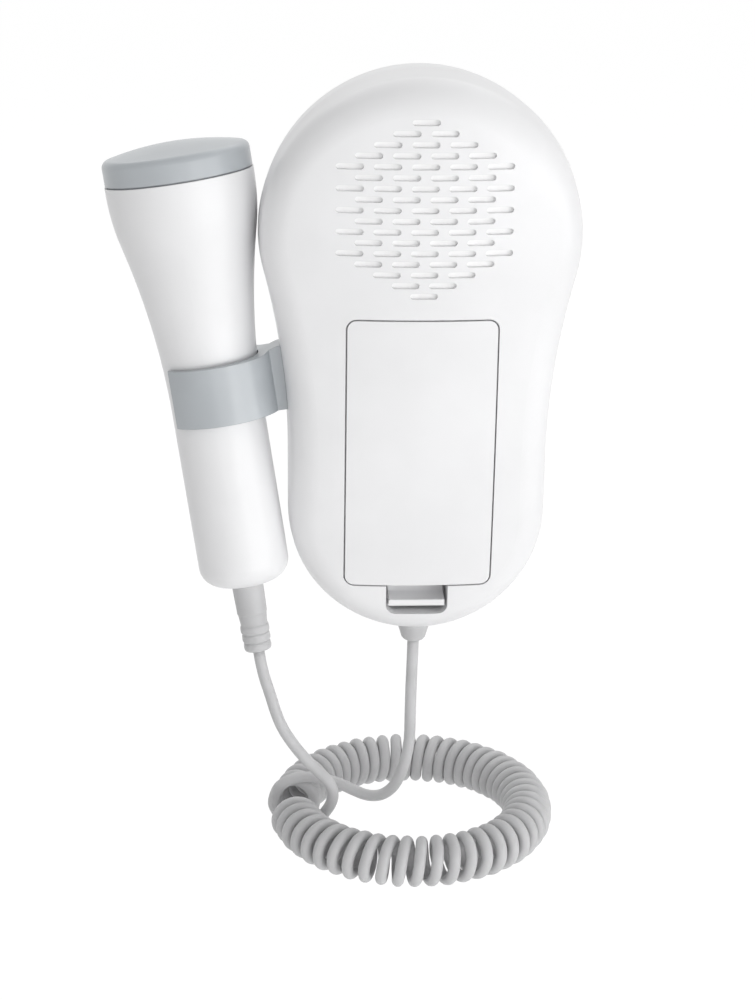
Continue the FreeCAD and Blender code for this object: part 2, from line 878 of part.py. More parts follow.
def latch_profile(sketch):
    """Free leg, and the half-round bend that joins it to the leg of the cover, seen from the side."""
    low, inner = P.latch_low, P.latch_low + P.latch_leg
    tip = -crown(0, P.latch_low) + 0.1
    bend_inner = P.latch_bend - P.latch_leg
    tooth = -crown(0, P.notch_bottom) + P.wall + 1.0
    outer_arc = arc(sketch, bend_y, bend_height, P.latch_bend, -90, 90)
    inner_arc = arc(sketch, bend_y, bend_height, bend_inner, -90, 90)
    corners = [
        (bend_y, low),
        (tooth + 1.2, low),
        (tooth + 0.7, low - P.latch_hook),
        (tooth, low - P.latch_hook),
        (tooth, low),
        (tip, low),
        (tip, inner),
        (bend_y, inner),
    ]
    lines = [line(sketch, *a, *b) for a, b in zip(corners, corners[1:])]
    top = line(sketch, bend_y, bend_height + bend_inner, bend_y, bend_height + P.latch_bend)
    for a, b in zip(lines, lines[1:]):
        constrain(sketch, "Coincident", a, 2, b, 1)
    for made, (y, z) in zip(lines[1:], corners[1:]):
        place_point(sketch, made, 1, y, z)
    constrain(sketch, "Coincident", lines[0], 1, outer_arc, 1)
    constrain(sketch, "Coincident", lines[-1], 2, inner_arc, 1)
    constrain(sketch, "Coincident", top, 1, inner_arc, 2)
    constrain(sketch, "Coincident", top, 2, outer_arc, 2)
    place_point(sketch, outer_arc, 3, bend_y, bend_height)
    place_point(sketch, inner_arc, 3, bend_y, bend_height)
    constrain(sketch, "Radius", outer_arc, to=P.latch_bend)
    constrain(sketch, "Radius", inner_arc, to=bend_inner)
    constrain(sketch, "DistanceX", -1, 1, outer_arc, 1, to=bend_y)
    constrain(sketch, "DistanceX", -1, 1, outer_arc, 2, to=bend_y)
    constrain(sketch, "DistanceX", -1, 1, inner_arc, 1, to=bend_y)
    constrain(sketch, "DistanceX", -1, 1, inner_arc, 2, to=bend_y)


latch = new_body("battery_latch")
latch_sketch = new_sketch(latch, "YZ_Plane", out=-P.latch_half_width)
latch_profile(latch_sketch)
pad(latch, latch_sketch, P.latch_half_width * 2)
node("battery_latch", latch)

cell_y = -P.cell_depth


def cell(name, x, upside_down):
    nipple, body_length = 1.2, P.cell_length - 1.2
    shoulder = P.cell_radius - 0.6
    made = turned(
        name,
        [
            (0, 0),
            (shoulder, 0),
            (P.cell_radius, 0.6),
            (P.cell_radius, body_length - 0.6),
            (shoulder, body_length),
            (2.7, body_length),
            (2.7, body_length + nipple),
            (0, body_length + nipple),
        ],
    )
    foot = P.cell_bottom - P.grip_height
    if upside_down:
        made.Placement = Placement(
            Vector(mm(x), mm(cell_y), mm(foot + P.cell_length)), Rotation(Vector(1, 0, 0), 180)
        )
    else:
        made.Placement = Placement(Vector(mm(x), mm(cell_y), mm(foot)), Rotation())
    return made


half_pitch = P.cell_spacing / 2
cells = (cell("cell_a", -half_pitch, False), cell("cell_b", half_pitch, True))
node("battery_cells", together("battery_cells", *cells))


def contact_sheet(name, x, low):
    half = P.contact_half_width
    return block(name, x - half, x + half, cell_y - half, cell_y + half + 0.5, low, low + P.contact_sheet)


def spring(name, x, low, high, upside_down):
    """A conical spring of round wire: half turns, each smaller and further from the sheet than the last."""
    wire, half_turns = mm(P.spring_wire), 5
    rise = mm(high - low) - 2 * wire
    shrink = mm(P.spring_wide - P.spring_narrow)
    ends = []
    for step in range(half_turns + 1):
        share = step / half_turns
        ends.append(Vector((mm(P.spring_wide) - shrink * share) * (-1) ** step, 0, rise * share))
    arcs = []
    for step, (start, end) in enumerate(zip(ends, ends[1:])):
        crest = (start + end) / 2 + Vector(0, (-1) ** step, 0) * (start.distanceToPoint(end) / 2)
        arcs.append(Part.Arc(start, crest, end).toShape())
    section = Part.Wire(Part.makeCircle(wire, ends[0], Vector(0, 1, 0)))
    winding = Part.Wire(arcs).makePipeShell([section], True, True)
    foot = mm(high - P.grip_height) - wire if upside_down else mm(low - P.grip_height) + wire
    turn = Rotation(Vector(1, 0, 0), 180) if upside_down else Rotation()
    return solid(name, winding, Placement(Vector(mm(x), mm(cell_y), foot), turn))


def dimple(name, x, foot, height, upside_down):
    made = turned(name, [(0, 0), (P.dimple_radius, 0), (P.dimple_tip_radius, height), (0, height)])
    turn = Rotation(Vector(1, 0, 0), 180) if upside_down else Rotation()
    made.Placement = Placement(Vector(mm(x), mm(cell_y), mm(foot - P.grip_height)), turn)
    return made


sheet_low, sheet_high = P.bay_bottom, P.cell_space_top - P.contact_sheet
node(
    "battery_spring_contacts",
    together(
        "battery_spring_contacts",
        contact_sheet("spring_sheet_a", -half_pitch, sheet_low),
        contact_sheet("spring_sheet_b", half_pitch, sheet_high),
        spring("spring_a", -half_pitch, sheet_low + P.contact_sheet, P.cell_bottom, False),
        spring("spring_b", half_pitch, P.cells_top, sheet_high, True),
    ),
)
low_gap = P.cell_bottom - sheet_low - P.contact_sheet
high_gap = sheet_high - P.cells_top
node(
    "battery_plate_contacts",
    together(
        "battery_plate_contacts",
        fuse(
            "plate_low",
            contact_sheet("plate_sheet_a", half_pitch, sheet_low),
            dimple("dimple_a", half_pitch, sheet_low + P.contact_sheet, low_gap, False),
        ),
        fuse(
            "plate_high",
            contact_sheet("plate_sheet_b", -half_pitch, sheet_high),
            dimple("dimple_b", -half_pitch, sheet_high, high_gap, True),
        ),
    ),
)


# ---- screws and their bosses ----------------------------------------------------------------------------


def shell_screw(side, x):
    head, shank = P.screw_head, P.screw_length
    made = turned(
        f"shell_screw_{side}",
        [
            (0, -head),
            (P.screw_head_radius, -head),
            (P.screw_head_radius, 0),
            (P.screw_radius, 0),
            (P.screw_radius, shank - 0.8),
            (0.3, shank),
            (0, shank),
        ],
        across_frame(x, P.floor_rear, screw_height),
    )
    return made


def boss(side, x):
    """Screw boss of the front cover: it passes through the board, and its shoulder carries the board."""
    post = prism(f"boss_post_{side}", P.floor_front, FAR, ring_outline(x, screw_height, P.boss_radius))
    shoulder = prism(
        f"boss_shoulder_{side}", P.board_front, FAR, ring_outline(x, screw_height, P.boss_radius + P.boss_step)
    )
    return fuse(f"boss_{side}", post, shoulder)


def boss_bore(side, x):
    deep = P.floor_rear + P.screw_length + 0.4
    return prism(f"boss_bore_{side}", size(0), deep, ring_outline(x, screw_height, P.screw_radius))


def board_post(side, x):
    return prism(
        f"board_post_{side}",
        P.board_front,
        FAR,
        ring_outline(x, P.board_bottom + P.post_radius * 2, P.post_radius),
    )


node("shell_screws", together("shell_screws", *mirrored_pair(shell_screw, P.screw_offset)))
bosses = mirrored_pair(boss, P.screw_offset)
bores = mirrored_pair(boss_bore, P.screw_offset)
posts = mirrored_pair(board_post, P.board_half_width - 3.0)


# ---- cord outlet and clip tongue ------------------------------------------------------------------------


flange_low = P.wall + 0.1
flange_radius = P.gland_radius + P.gland_flange_step
flange_high = flange_low + P.gland_flange
node(
    "cord_gland",
    turned(
        "cord_gland",
        [
            (0, -P.gland_length),
            (P.gland_tip_radius - 0.4, -P.gland_length),
            (P.gland_tip_radius, 0.5 - P.gland_length),
            (P.gland_radius, -0.4),
            (P.gland_radius, P.gland_seat),
            (P.neck_fit, P.gland_seat),
            (P.neck_fit, flange_low),
            (flange_radius, flange_low),
            (flange_radius, flange_high),
            (0, flange_high),
        ],
    ),
)
# room for the gland in both covers, with a flat seat for its flange in the rounded inner rim
gland_space = turned(
    "gland_space",
    [
        (0, -6.0),
        (P.gland_radius + 0.1, -6.0),
        (P.gland_radius + 0.1, P.gland_seat),
        (P.neck_fit + 0.05, P.gland_seat),
        (P.neck_fit + 0.05, flange_low),
        (flange_radius + 0.1, flange_low),
        (flange_radius + 0.1, flange_high + 1.0),
        (0, flange_high + 1.0),
    ],
)

tongue_low = P.clip_height + P.tongue_low
tongue_high = P.clip_height + P.tongue_high
flank = P.lower_half_width + 0.6
tongue_space = block(
    "tongue_space",
    -flank - 4.0,
    -flank + P.wall + 1.0,
    -P.tongue_half - 0.05,
    P.tongue_half + 0.05,
    tongue_low - 0.05,
    tongue_high + 0.05,
)

slots = solid("grille_slots", grille_slots())
rear_solid = fuse("rear_solid", cut("rear_shell", rear_outer, rear_inner), collar, ledge, tub, pocket)
lid_opening = sheet_under("lid_opening", REAR, -size(2.0), P.wall + 2.0, lid_outline(P.seam_gap))
screw_holes = mirrored_pair(
    lambda side, x: prism(
        f"screw_hole_{side}", size(0), P.floor_front + 1.0, ring_outline(x, screw_height, P.screw_radius + 0.2)
    ),
    P.screw_offset,
)
node(
    "rear_cover",
    cut(
        "rear_cover",
        rear_solid,
        slots,
        grille_recess,
        lid_opening,
        cell_space,
        screw_space,
        pocket_space,
        pocket_foot,
        gland_space,
        tongue_space,
        *tab_slots,
        *screw_holes,
    ),
)


# ---- front cover, display and keys ----------------------------------------------------------------------


def window_outline(grow):
    def draw(sketch):
        rounded_box(
            sketch,
            -P.window_half_width - grow,
            P.window_half_width + grow,
            P.window_bottom - grow,
            P.window_top + grow,
            P.window_corner + grow,
        )

    return draw


node(
    "display_window",
    sheet_under("display_window", FRONT, size(0), P.window_thickness, window_outline(size(0))),
)
window_rebate = sheet_under(
    "window_rebate", FRONT, -size(2.0), P.window_thickness + 2.0, window_outline(P.seam_gap)
)
window_hole = prism("window_hole", P.board_rear, FAR, window_outline(-P.window_ledge))

frame_half = P.window_half_width - 0.8
frame_low, frame_high = P.window_bottom + 0.8, P.window_top - 0.8
frame_top = crown(frame_half, frame_high, P.wall) - P.seat_gap


def frame_outline(shrink):
    def draw(sketch):
        rounded_box(
            sketch,
            -frame_half + shrink,
            frame_half - shrink,
            frame_low + shrink,
            frame_high - shrink,
            size(0.8),
        )

    return draw


def framed(sketch):
    frame_outline(size(0))(sketch)
    frame_outline(P.display_border)(sketch)


node("lcd_frame", prism("lcd_frame", P.board_front, frame_top, framed))
panel_rear = frame_top - P.panel - 0.2
node("lcd_panel", prism("lcd_panel", panel_rear, frame_top - 0.2, frame_outline(P.display_border + 0.2)))
node(
    "lcd_backlight",
    prism("lcd_backlight", P.board_front + 0.2, panel_rear - 0.1, frame_outline(P.display_border + 0.2)),
)

KEYS = {
    "power_button": (size(0), P.power_height, P.power_radius),
    "mode_button": (size(0), P.window_bottom - P.mode_drop, P.key_radius),
    "volume_down_button": (-P.volume_offset, P.window_bottom - P.volume_drop, P.key_radius),
    "volume_up_button": (P.volume_offset, P.window_bottom - P.volume_drop, P.key_radius),
}
key_skin = half_form("key_skin", FRONT, -P.key_proud, rim=False)
switch_top = P.board_front + P.switch_body + P.switch_stem
key_holes, switches = [], []
for key, (x, z, radius) in KEYS.items():
    edge = radius + P.key_flange
    side = x if mm(x) >= 0 else -x
    flange_front = crown(side + edge, z - edge, P.wall) - 0.2
    flange_rear = flange_front - 0.7
    cap = common(f"{key}_cap", prism(f"{key}_stem", flange_rear, FAR, ring_outline(x, z, radius)), key_skin)
    flange = prism(f"{key}_flange", flange_rear, flange_front, ring_outline(x, z, edge))
    plunger = prism(
        f"{key}_plunger", switch_top + P.key_travel + 0.05, flange_rear, ring_outline(x, z, 1.6)
    )
    node(key, fuse(key, cap, flange, plunger))
    key_holes.append(prism(f"{key}_hole", P.board_front, FAR, ring_outline(x, z, radius + P.seam_gap)))
    half = P.switch_half_width
    case_top = P.board_front + P.switch_body
    case = block(f"{key}_switch", x - half, x + half, P.board_front, case_top, z - half, z + half)
    stem = prism(f"{key}_switch_stem", P.board_front, switch_top, ring_outline(x, z, 1.7))
    switches.append(fuse(f"{key}_tact", case, stem))
node("tact_switches", together("tact_switches", *switches))

socket_y = P.board_rear - P.socket_half_width - 0.1
socket_face = P.upper_radius - 0.7       # flush with the drafted wall
SOCKET = Placement(
    Vector(mm(socket_face), mm(socket_y), mm(P.upper_centre - P.grip_height)), Rotation(Vector(0, 1, 0), -90)
)
socket_case = block(
    "socket_case",
    socket_face - P.socket_length - 1.0,
    P.upper_radius - P.wall - 0.7,
    socket_y - P.socket_half_width,
    socket_y + P.socket_half_width,
    P.upper_centre - P.socket_half_width,
    P.upper_centre + P.socket_half_width,
)
nose = turned(
    "socket_nose",
    [(0, 0), (P.socket_half_width - 0.2, 0), (P.socket_half_width - 0.2, 6.0), (0, 6.0)],
    SOCKET,
)
bore = turned(
    "socket_bore",
    [(0, -1.0), (P.socket_bore, -1.0), (P.socket_bore, P.socket_length), (0, P.socket_length)],
    SOCKET,
)
node("earphone_socket", cut("earphone_socket", fuse("socket_solid", socket_case, nose), bore))
nose_space = turned(
    "nose_space",
    [(0, -6.0), (P.socket_half_width, -6.0), (P.socket_half_width, 8.0), (0, 8.0)],
    SOCKET,
)

front_bosses = common("front_bosses", fuse("boss_group", *bosses, *posts), front_inner)
front_solid = fuse("front_solid", cut("front_shell", front_outer, front_inner), front_bosses)
node(
    "front_cover",
    cut(
        "front_cover",
        front_solid,
        window_rebate,
        window_hole,
        gland_space,
        tongue_space,
        nose_space,
        *bores,
        *key_holes,
    ),
)


def board_outline(sketch):
    rounded_box(
        sketch, -P.board_half_width, P.board_half_width, P.board_bottom, P.board_top, size(2.0)
    )
    for x in (-P.screw_offset, P.screw_offset):
        circle(sketch, x, screw_height, P.boss_radius + 0.3)


node("main_board", prism("main_board", P.board_rear, P.board_front, board_outline))

# left, right, height off the board, and lower and upper edge from the centre of the upper lobe
CHIPS = {
    "processor": (-13.0, -1.0, 1.2, -2.0, 10.0),
    "amplifier": (4.0, 11.0, 1.2, -13.5, -7.5),
    "flash_memory": (-14.0, -6.0, 1.2, -13.5, -8.5),
    "crystal_can": (4.0, 9.0, 2.0, 6.0, 9.0),
}
chips = [
    block(
        chip,
        size(left),
        size(right),
        P.board_rear - high,
        P.board_rear,
        P.upper_centre + bottom,
        P.upper_centre + top,
    )
    for chip, (left, right, high, bottom, top) in CHIPS.items()
]
node("board_chips", together("board_chips", *chips))


# ---- probe ----------------------------------------------------------------------------------------------


def probe_form(name, inset, low, high):
    """The probe's turned body: straight handle, hollow waist, full shoulder; a given depth under the skin."""
    handle, head = P.handle_radius - inset, P.head_radius - inset
    hollow, full = P.waist_radius + inset, P.shoulder_radius - inset
    reach = P.waist_radius + P.shoulder_radius
    step = P.head_radius - P.handle_radius
    rise = (reach * step * 2 - step * step).root()
    waist = P.shoulder_height - rise
    turn = math.degrees(math.asin(mm(rise / reach)))
    body = new_body(name, PROBE)
    sketch = new_sketch(body, "XZ_Plane")
    base = line(sketch, 0, low, handle, low)
    grip = line(sketch, handle, low, handle, waist)
    hollow_arc = arc(sketch, handle + hollow, waist, hollow, 180 - turn, 180)
    full_arc = arc(sketch, head - full, P.shoulder_height, full, -turn, 0)
    neck = line(sketch, head, P.shoulder_height, head, high)
    top = line(sketch, head, high, 0, high)
    core = line(sketch, 0, high, 0, low)
    constrain(sketch, "Coincident", base, 2, grip, 1)
    constrain(sketch, "Tangent", grip, 2, hollow_arc, 2)
    constrain(sketch, "Tangent", hollow_arc, 1, full_arc, 1)
    constrain(sketch, "Tangent", full_arc, 2, neck, 1)
    constrain(sketch, "Coincident", neck, 2, top, 1)
    constrain(sketch, "Coincident", top, 2, core, 1)
    constrain(sketch, "Coincident", core, 2, base, 1)
    for made in (grip, neck):
        constrain(sketch, "Vertical", made)
    for made in (base, top):
        constrain(sketch, "Horizontal", made)
    place_point(sketch, core, 1, 0, high)
    place_point(sketch, core, 2, 0, low)
    constrain(sketch, "DistanceX", -1, 1, grip, 1, to=handle)
    constrain(sketch, "DistanceX", -1, 1, neck, 2, to=head)
    constrain(sketch, "Radius", hollow_arc, to=hollow)
    constrain(sketch, "Radius", full_arc, to=full)
    constrain(sketch, "DistanceY", -1, 1, full_arc, 3, to=P.shoulder_height)
    turn_feature = revolve(body, sketch)
    if inset == 0:
        DOC.recompute()
        edges = [
            f"Edge{i}"
            for i, e in enumerate(turn_feature.Shape.Edges, start=1)
            if e.Closed and e.BoundBox.ZMax < mm(low) + 0.1
        ]
        rounding = body.newObject("PartDesign::Fillet", name + "_end")
        rounding.Base = (turn_feature, edges)
        bind(rounding, "Radius", P.probe_end_radius)
    return body


probe_floor = P.probe_bottom + P.probe_wall
probe_outer = probe_form("probe_outer", 0, P.probe_bottom, P.probe_seam)
probe_inner = probe_form("probe_inner", P.probe_wall, probe_floor, P.probe_seam + 1.0)
relief_hole = turned(
    "relief_hole",
    [
        (0, P.probe_bottom - 1.0),
        (P.relief_neck + 0.05, P.probe_bottom - 1.0),
        (P.relief_neck + 0.05, probe_floor + 1.0),
        (0, probe_floor + 1.0),
    ],
    PROBE,
)
node("probe_body", cut("probe_body", probe_outer, probe_inner, relief_hole))

cap_low = P.probe_seam + P.seal
cap_edge = cap_low + P.cap_side
cap_radius = P.head_radius - 0.15
skirt = P.head_radius - P.probe_wall - 0.1
skirt_low = P.probe_seam - P.cap_skirt
face_low = cap_edge + 0.4 - P.cap_wall


def cap_profile(sketch):
    """Domed cap with a skirt that plugs into the head."""
    dome = (cap_radius * cap_radius + P.cap_dome * P.cap_dome) / (P.cap_dome * 2)
    crest = cap_edge + P.cap_dome
    half_angle = math.degrees(math.asin(mm(cap_radius / dome)))
    face = arc(sketch, 0, crest - dome, dome, 90 - half_angle, 90)
    corners = [
        (cap_radius, cap_edge),
        (cap_radius, cap_low),
        (skirt, cap_low),
        (skirt, skirt_low),
        (skirt - P.skirt_wall, skirt_low),
        (skirt - P.skirt_wall, face_low),
        (size(0), face_low),
        (size(0), crest),
    ]
    lines = [line(sketch, *a, *b) for a, b in zip(corners, corners[1:])]
    for a, b in zip(lines, lines[1:]):
        constrain(sketch, "Coincident", a, 2, b, 1)
    constrain(sketch, "Coincident", lines[-1], 2, face, 2)
    constrain(sketch, "Coincident", lines[0], 1, face, 1)
    for made, (x, z) in zip(lines[:-1], corners):
        place_point(sketch, made, 1, x, z)
    place_point(sketch, lines[-1], 1, 0, face_low)
    place_point(sketch, lines[-1], 2, 0, crest)
    constrain(sketch, "Radius", face, to=dome)


cap = new_body("probe_cap", PROBE)
cap_sketch = new_sketch(cap, "XZ_Plane")
cap_profile(cap_sketch)
cap_turn = revolve(cap, cap_sketch)
DOC.recompute()
rim_edges = [
    f"Edge{i}"
    for i, e in enumerate(cap_turn.Shape.Edges, start=1)
    if e.Closed and abs(e.BoundBox.ZMax - mm(cap_edge)) < 0.1 and e.BoundBox.XLength > mm(cap_radius)
]
cap_rim = cap.newObject("PartDesign::Fillet", "cap_rim")
cap_rim.Base = (cap_turn, rim_edges)
bind(cap_rim, "Radius", P.cap_rim)
node("probe_cap", cap)


def washer(name, inner, outer, low, high):
    return turned(name, [(inner, low), (outer, low), (outer, high), (inner, high)], PROBE)


node("cap_seal", washer("cap_seal", skirt, cap_radius - 0.35, P.probe_seam, cap_low))
crystal_top = face_low - 0.1
crystal_low = crystal_top - P.crystal


def crystal_half(side, turn):
    disc = turned(
        f"crystal_disc_{side}",
        [(0, crystal_low), (P.crystal_radius, crystal_low), (P.crystal_radius, crystal_top), (0, crystal_top)],
        PROBE,
    )
    knife = DOC.addObject("Part::Box", f"crystal_knife_{side}")
    reach = P.crystal_radius + 5.0
    bind(knife, "Length", reach * 2)
    bind(knife, "Width", reach + P.crystal_kerf / 2)
    bind(knife, "Height", reach * 2)
    corner = Placement(Vector(-mm(reach), -mm(reach), mm(crystal_low - reach)), Rotation())
    knife.Placement = PROBE.multiply(Placement(Vector(), Rotation(Vector(0, 0, 1), turn)).multiply(corner))
    return cut(f"crystal_{side}", disc, knife)


node(
    "transducer_crystals",
    together("transducer_crystals", crystal_half("sender", 0), crystal_half("receiver", 180)),
)
backing_radius = skirt - P.skirt_wall - 0.1
backing_low = crystal_low - P.backing
node("backing_block", washer("backing_block", size(1.0), backing_radius, backing_low, crystal_low))
carrier_low = backing_low - P.carrier
node(
    "transducer_carrier",
    turned(
        "transducer_carrier",
        [
            (2.0, carrier_low),
            (skirt - 0.1, carrier_low),
            (skirt - 0.1, skirt_low - 0.05),
            (backing_radius, skirt_low - 0.05),
            (backing_radius, backing_low),
            (2.0, backing_low),
        ],
        PROBE,
    ),
)

probe_board = DOC.addObject("Part::Box", "probe_board")
probe_board_half = P.handle_radius - P.probe_wall - P.seat_gap
bind(probe_board, "Length", probe_board_half * 2)
bind(probe_board, "Width", P.probe_board)
bind(probe_board, "Height", P.probe_board_length)
probe_board_low = probe_floor + 8.0
probe_board.Placement = PROBE.multiply(
    Placement(Vector(-mm(probe_board_half), -mm(P.probe_board) / 2, mm(probe_board_low)), Rotation())
)
node("probe_board", probe_board)

RELIEF_BANDS = 3
collar_end = P.probe_bottom - P.relief_collar
bands_top = collar_end - P.relief_cone
relief_end = bands_top - P.relief_band * RELIEF_BANDS
relief_corners = [(0, relief_end)]
for step in reversed(range(RELIEF_BANDS)):
    top = bands_top - P.relief_band * step
    radius = P.relief_band_radius - P.relief_taper * step
    relief_corners += [
        (radius - P.relief_groove, top - P.relief_band),
        (radius - P.relief_groove / 4, top - P.relief_band * 0.85),
        (radius, top - P.relief_band * 0.6),
        (radius - P.relief_groove / 4, top - P.relief_band * 0.2),
        (radius - P.relief_groove, top),
    ]
relief_corners += [
    (P.relief_lip_radius - 0.15, collar_end - 0.2),
    (P.relief_lip_radius, collar_end),
    (P.relief_radius, P.probe_bottom - 0.05),
    (P.relief_neck, P.probe_bottom - 0.05),
    (P.relief_neck, probe_floor + 0.1),
    (P.relief_neck + P.relief_flange, probe_floor + 0.1),
    (P.relief_neck + P.relief_flange, probe_floor + 1.3),
    (0, probe_floor + 1.3),
]
node("probe_strain_relief", turned("probe_strain_relief", relief_corners, PROBE))


# ---- probe clip -----------------------------------------------------------------------------------------


arm_root = P.clip_bore + 0.5
arm_end = P.clip_bore + 15.0


def clip_plan(sketch):
    """The clip from above: an open ring that thins towards its tips, and the arm towards the unit."""
    bore = P.clip_bore
    outer = bore + P.clip_wall
    rear, front = -mm(P.clip_mouth_rear), mm(P.clip_mouth_front)
    shift = P.clip_taper
    out_x = shift
    arm = P.arm_half_width
    spread = math.degrees(math.asin(mm(arm / outer)))
    reach = size(26.0)

    def on_outer(angle):
        turn = math.radians(angle)
        return mm(out_x) + mm(outer) * math.cos(turn), mm(outer) * math.sin(turn)

    inner_arc = arc(sketch, 0, 0, bore, rear, front)
    rear_arc = arc(sketch, out_x, 0, outer, rear, -spread)
    front_arc = arc(sketch, out_x, 0, outer, spread, front)
    low = line(sketch, *on_outer(-spread), reach, -arm)
    end = line(sketch, reach, -arm, reach, arm)
    high = line(sketch, reach, arm, *on_outer(spread))
    turn = math.radians(rear)
    tip_rear = line(sketch, mm(bore) * math.cos(turn), mm(bore) * math.sin(turn), *on_outer(rear))
    turn = math.radians(front)
    tip_front = line(sketch, *on_outer(front), mm(bore) * math.cos(turn), mm(bore) * math.sin(turn))
    constrain(sketch, "Coincident", tip_rear, 1, inner_arc, 1)
    constrain(sketch, "Coincident", tip_rear, 2, rear_arc, 1)
    constrain(sketch, "Coincident", rear_arc, 2, low, 1)
    constrain(sketch, "Coincident", low, 2, end, 1)
    constrain(sketch, "Coincident", end, 2, high, 1)
    constrain(sketch, "Coincident", high, 2, front_arc, 1)
    constrain(sketch, "Coincident", front_arc, 2, tip_front, 1)
    constrain(sketch, "Coincident", tip_front, 2, inner_arc, 2)
    constrain(sketch, "Coincident", inner_arc, 3, -1, 1)
    place_point(sketch, rear_arc, 3, out_x, 0)
    place_point(sketch, front_arc, 3, out_x, 0)
    constrain(sketch, "Radius", inner_arc, to=bore)
    constrain(sketch, "Radius", rear_arc, to=outer)
    constrain(sketch, "Equal", rear_arc, front_arc)
    constrain(sketch, "Horizontal", low)
    constrain(sketch, "Horizontal", high)
    constrain(sketch, "Vertical", end)
    place_point(sketch, end, 1, reach, -arm)
    constrain(sketch, "DistanceY", -1, 1, end, 2, to=arm)
    for point in (1, 2):
        angle = rear if point == 1 else front
        turn = math.radians(angle)
        constrain(sketch, "DistanceX", -1, 1, inner_arc, point, to=bore * math.cos(turn))
    constrain(sketch, "DistanceX", -1, 1, rear_arc, 1, to=out_x + outer * math.cos(math.radians(rear)))
    constrain(sketch, "DistanceX", -1, 1, front_arc, 2, to=out_x + outer * math.cos(math.radians(front)))


def clip_elevation(sketch):
    """The clip from the side: a level band whose upper edge climbs along the arm."""
    polygon(
        sketch,
        [
            (-P.clip_bore - P.clip_wall * 2, P.clip_low),
            (arm_end, P.clip_low),
            (arm_end, P.clip_high + P.arm_rise),
            (arm_root + 4.0, P.clip_high + P.arm_rise),
            (arm_root, P.clip_high),
            (-P.clip_bore - P.clip_wall * 2, P.clip_high),
        ],
    )


plan = new_body("clip_plan", PROBE)
plan_sketch = new_sketch(plan, "XY_Plane", out=size(-12.0))
clip_plan(plan_sketch)
pad(plan, plan_sketch, size(45.0))
side_view = new_body("clip_side", PROBE)
side_sketch = new_sketch(side_view, "XZ_Plane", out=size(-25.0))
clip_elevation(side_sketch)
side_pad = pad(side_view, side_sketch, size(50.0))
DOC.recompute()
climb_edges = [
    f"Edge{i}"
    for i, e in enumerate(side_pad.Shape.Edges, start=1)
    if e.BoundBox.YLength > 40.0 and mm(arm_root) - 0.1 < e.BoundBox.XMin < mm(arm_end) - 0.1
]
climb = side_view.newObject("PartDesign::Fillet", "arm_climb")
climb.Base = (side_pad, climb_edges)
bind(climb, "Radius", P.arm_blend)
clip_ring = cut("clip_ring", common("clip_blank", plan, side_view), rear_outer, front_outer)
inner_flank = -flank + P.wall + 0.7
tongue = block(
    "clip_tongue", -flank - 2.5, inner_flank + 0.6, -P.tongue_half, P.tongue_half, tongue_low, tongue_high
)
tongue_head = block(
    "clip_tongue_head",
    inner_flank,
    inner_flank + P.tongue_head,
    -P.tongue_half - 1.8,
    P.tongue_half + 1.8,
    tongue_low - 1.0,
    tongue_high + 1.0,
)
node("probe_holder", fuse("probe_holder", clip_ring, tongue, tongue_head))


# ---- cord -----------------------------------------------------------------------------------------------

# Routes of the two straight leads to the coil; z counts from the unit's lowest point.
UNIT_LEAD = [
    (0.0, 0.0, -15.4),
    (-0.2, 0.3, -26.4),
    (-0.5, 0.6, -36.4),
    (-2.0, 0.9, -44.1),
    (-7.7, 0.9, -48.6),
    (-14.6, 0.4, -47.5),
    (-20.4, 0.8, -44.9),
    (-25.9, 1.9, -44.5),
]
PROBE_LEAD = [
    (-35.4, -7.0, -17.4),
    (-32.2, -8.0, -25.0),
    (-27.2, -8.6, -31.3),
    (-21.8, -9.2, -36.5),
    (-18.0, -9.8, -41.1),
    (-18.2, -10.2, -45.5),
    (-21.6, -9.4, -49.1),
    (-24.8, -8.6, -50.2),
]


def cord_tube(name, points, frame):
    """Round cord along straight runs with an arc, as large as its runs allow, at each point between them."""
    runs = [b - a for a, b in zip(points, points[1:])]
    edges, last, radii = [], points[0], []
    for i in range(1, len(points) - 1):
        before, after = runs[i - 1], runs[i]
        turn = before.getAngle(after)
        trim = 0.45 * min(before.Length, after.Length)
        radii.append(trim / math.tan(turn / 2))
        start = points[i] - Vector(before).normalize() * trim
        end = points[i] + Vector(after).normalize() * trim
        inward = (Vector(after).normalize() - Vector(before).normalize()).normalize()
        sagitta = radii[-1] * (1 / math.cos(turn / 2) - 1)
        middle = points[i] + inward * sagitta
        edges += [Part.LineSegment(last, start).toShape(), Part.Arc(start, middle, end).toShape()]
        last = end
    edges.append(Part.LineSegment(last, points[-1]).toShape())
    path = Part.Wire(edges)
    section = Part.Wire(Part.makeCircle(mm(P.cord_radius), points[0], runs[0]))
    tube = path.makePipeShell([section], True, True)
    expected = math.pi * mm(P.cord_radius) ** 2 * path.Length
    print(name, "length", round(path.Length, 1), "radii", [round(r, 1) for r in radii])
    print(name, "volume to section times length", round(tube.Volume / expected, 4))
    return solid(name, tube, frame)


gland_tip = Vector(0, 0, -mm(P.gland_length))
node("unit_lead", cord_tube("unit_lead", [gland_tip] + [Vector(*p) for p in UNIT_LEAD], UNIT))
first_run = 5.5
relief_tip = UNIT.inverse().multVec(PROBE.multVec(Vector(0, 0, mm(relief_end))))
relief_out = UNIT.inverse().multVec(PROBE.multVec(Vector(0, 0, mm(relief_end) - first_run)))
node("probe_lead", cord_tube("probe_lead", [relief_tip, relief_out] + [Vector(*p) for p in PROBE_LEAD], UNIT))

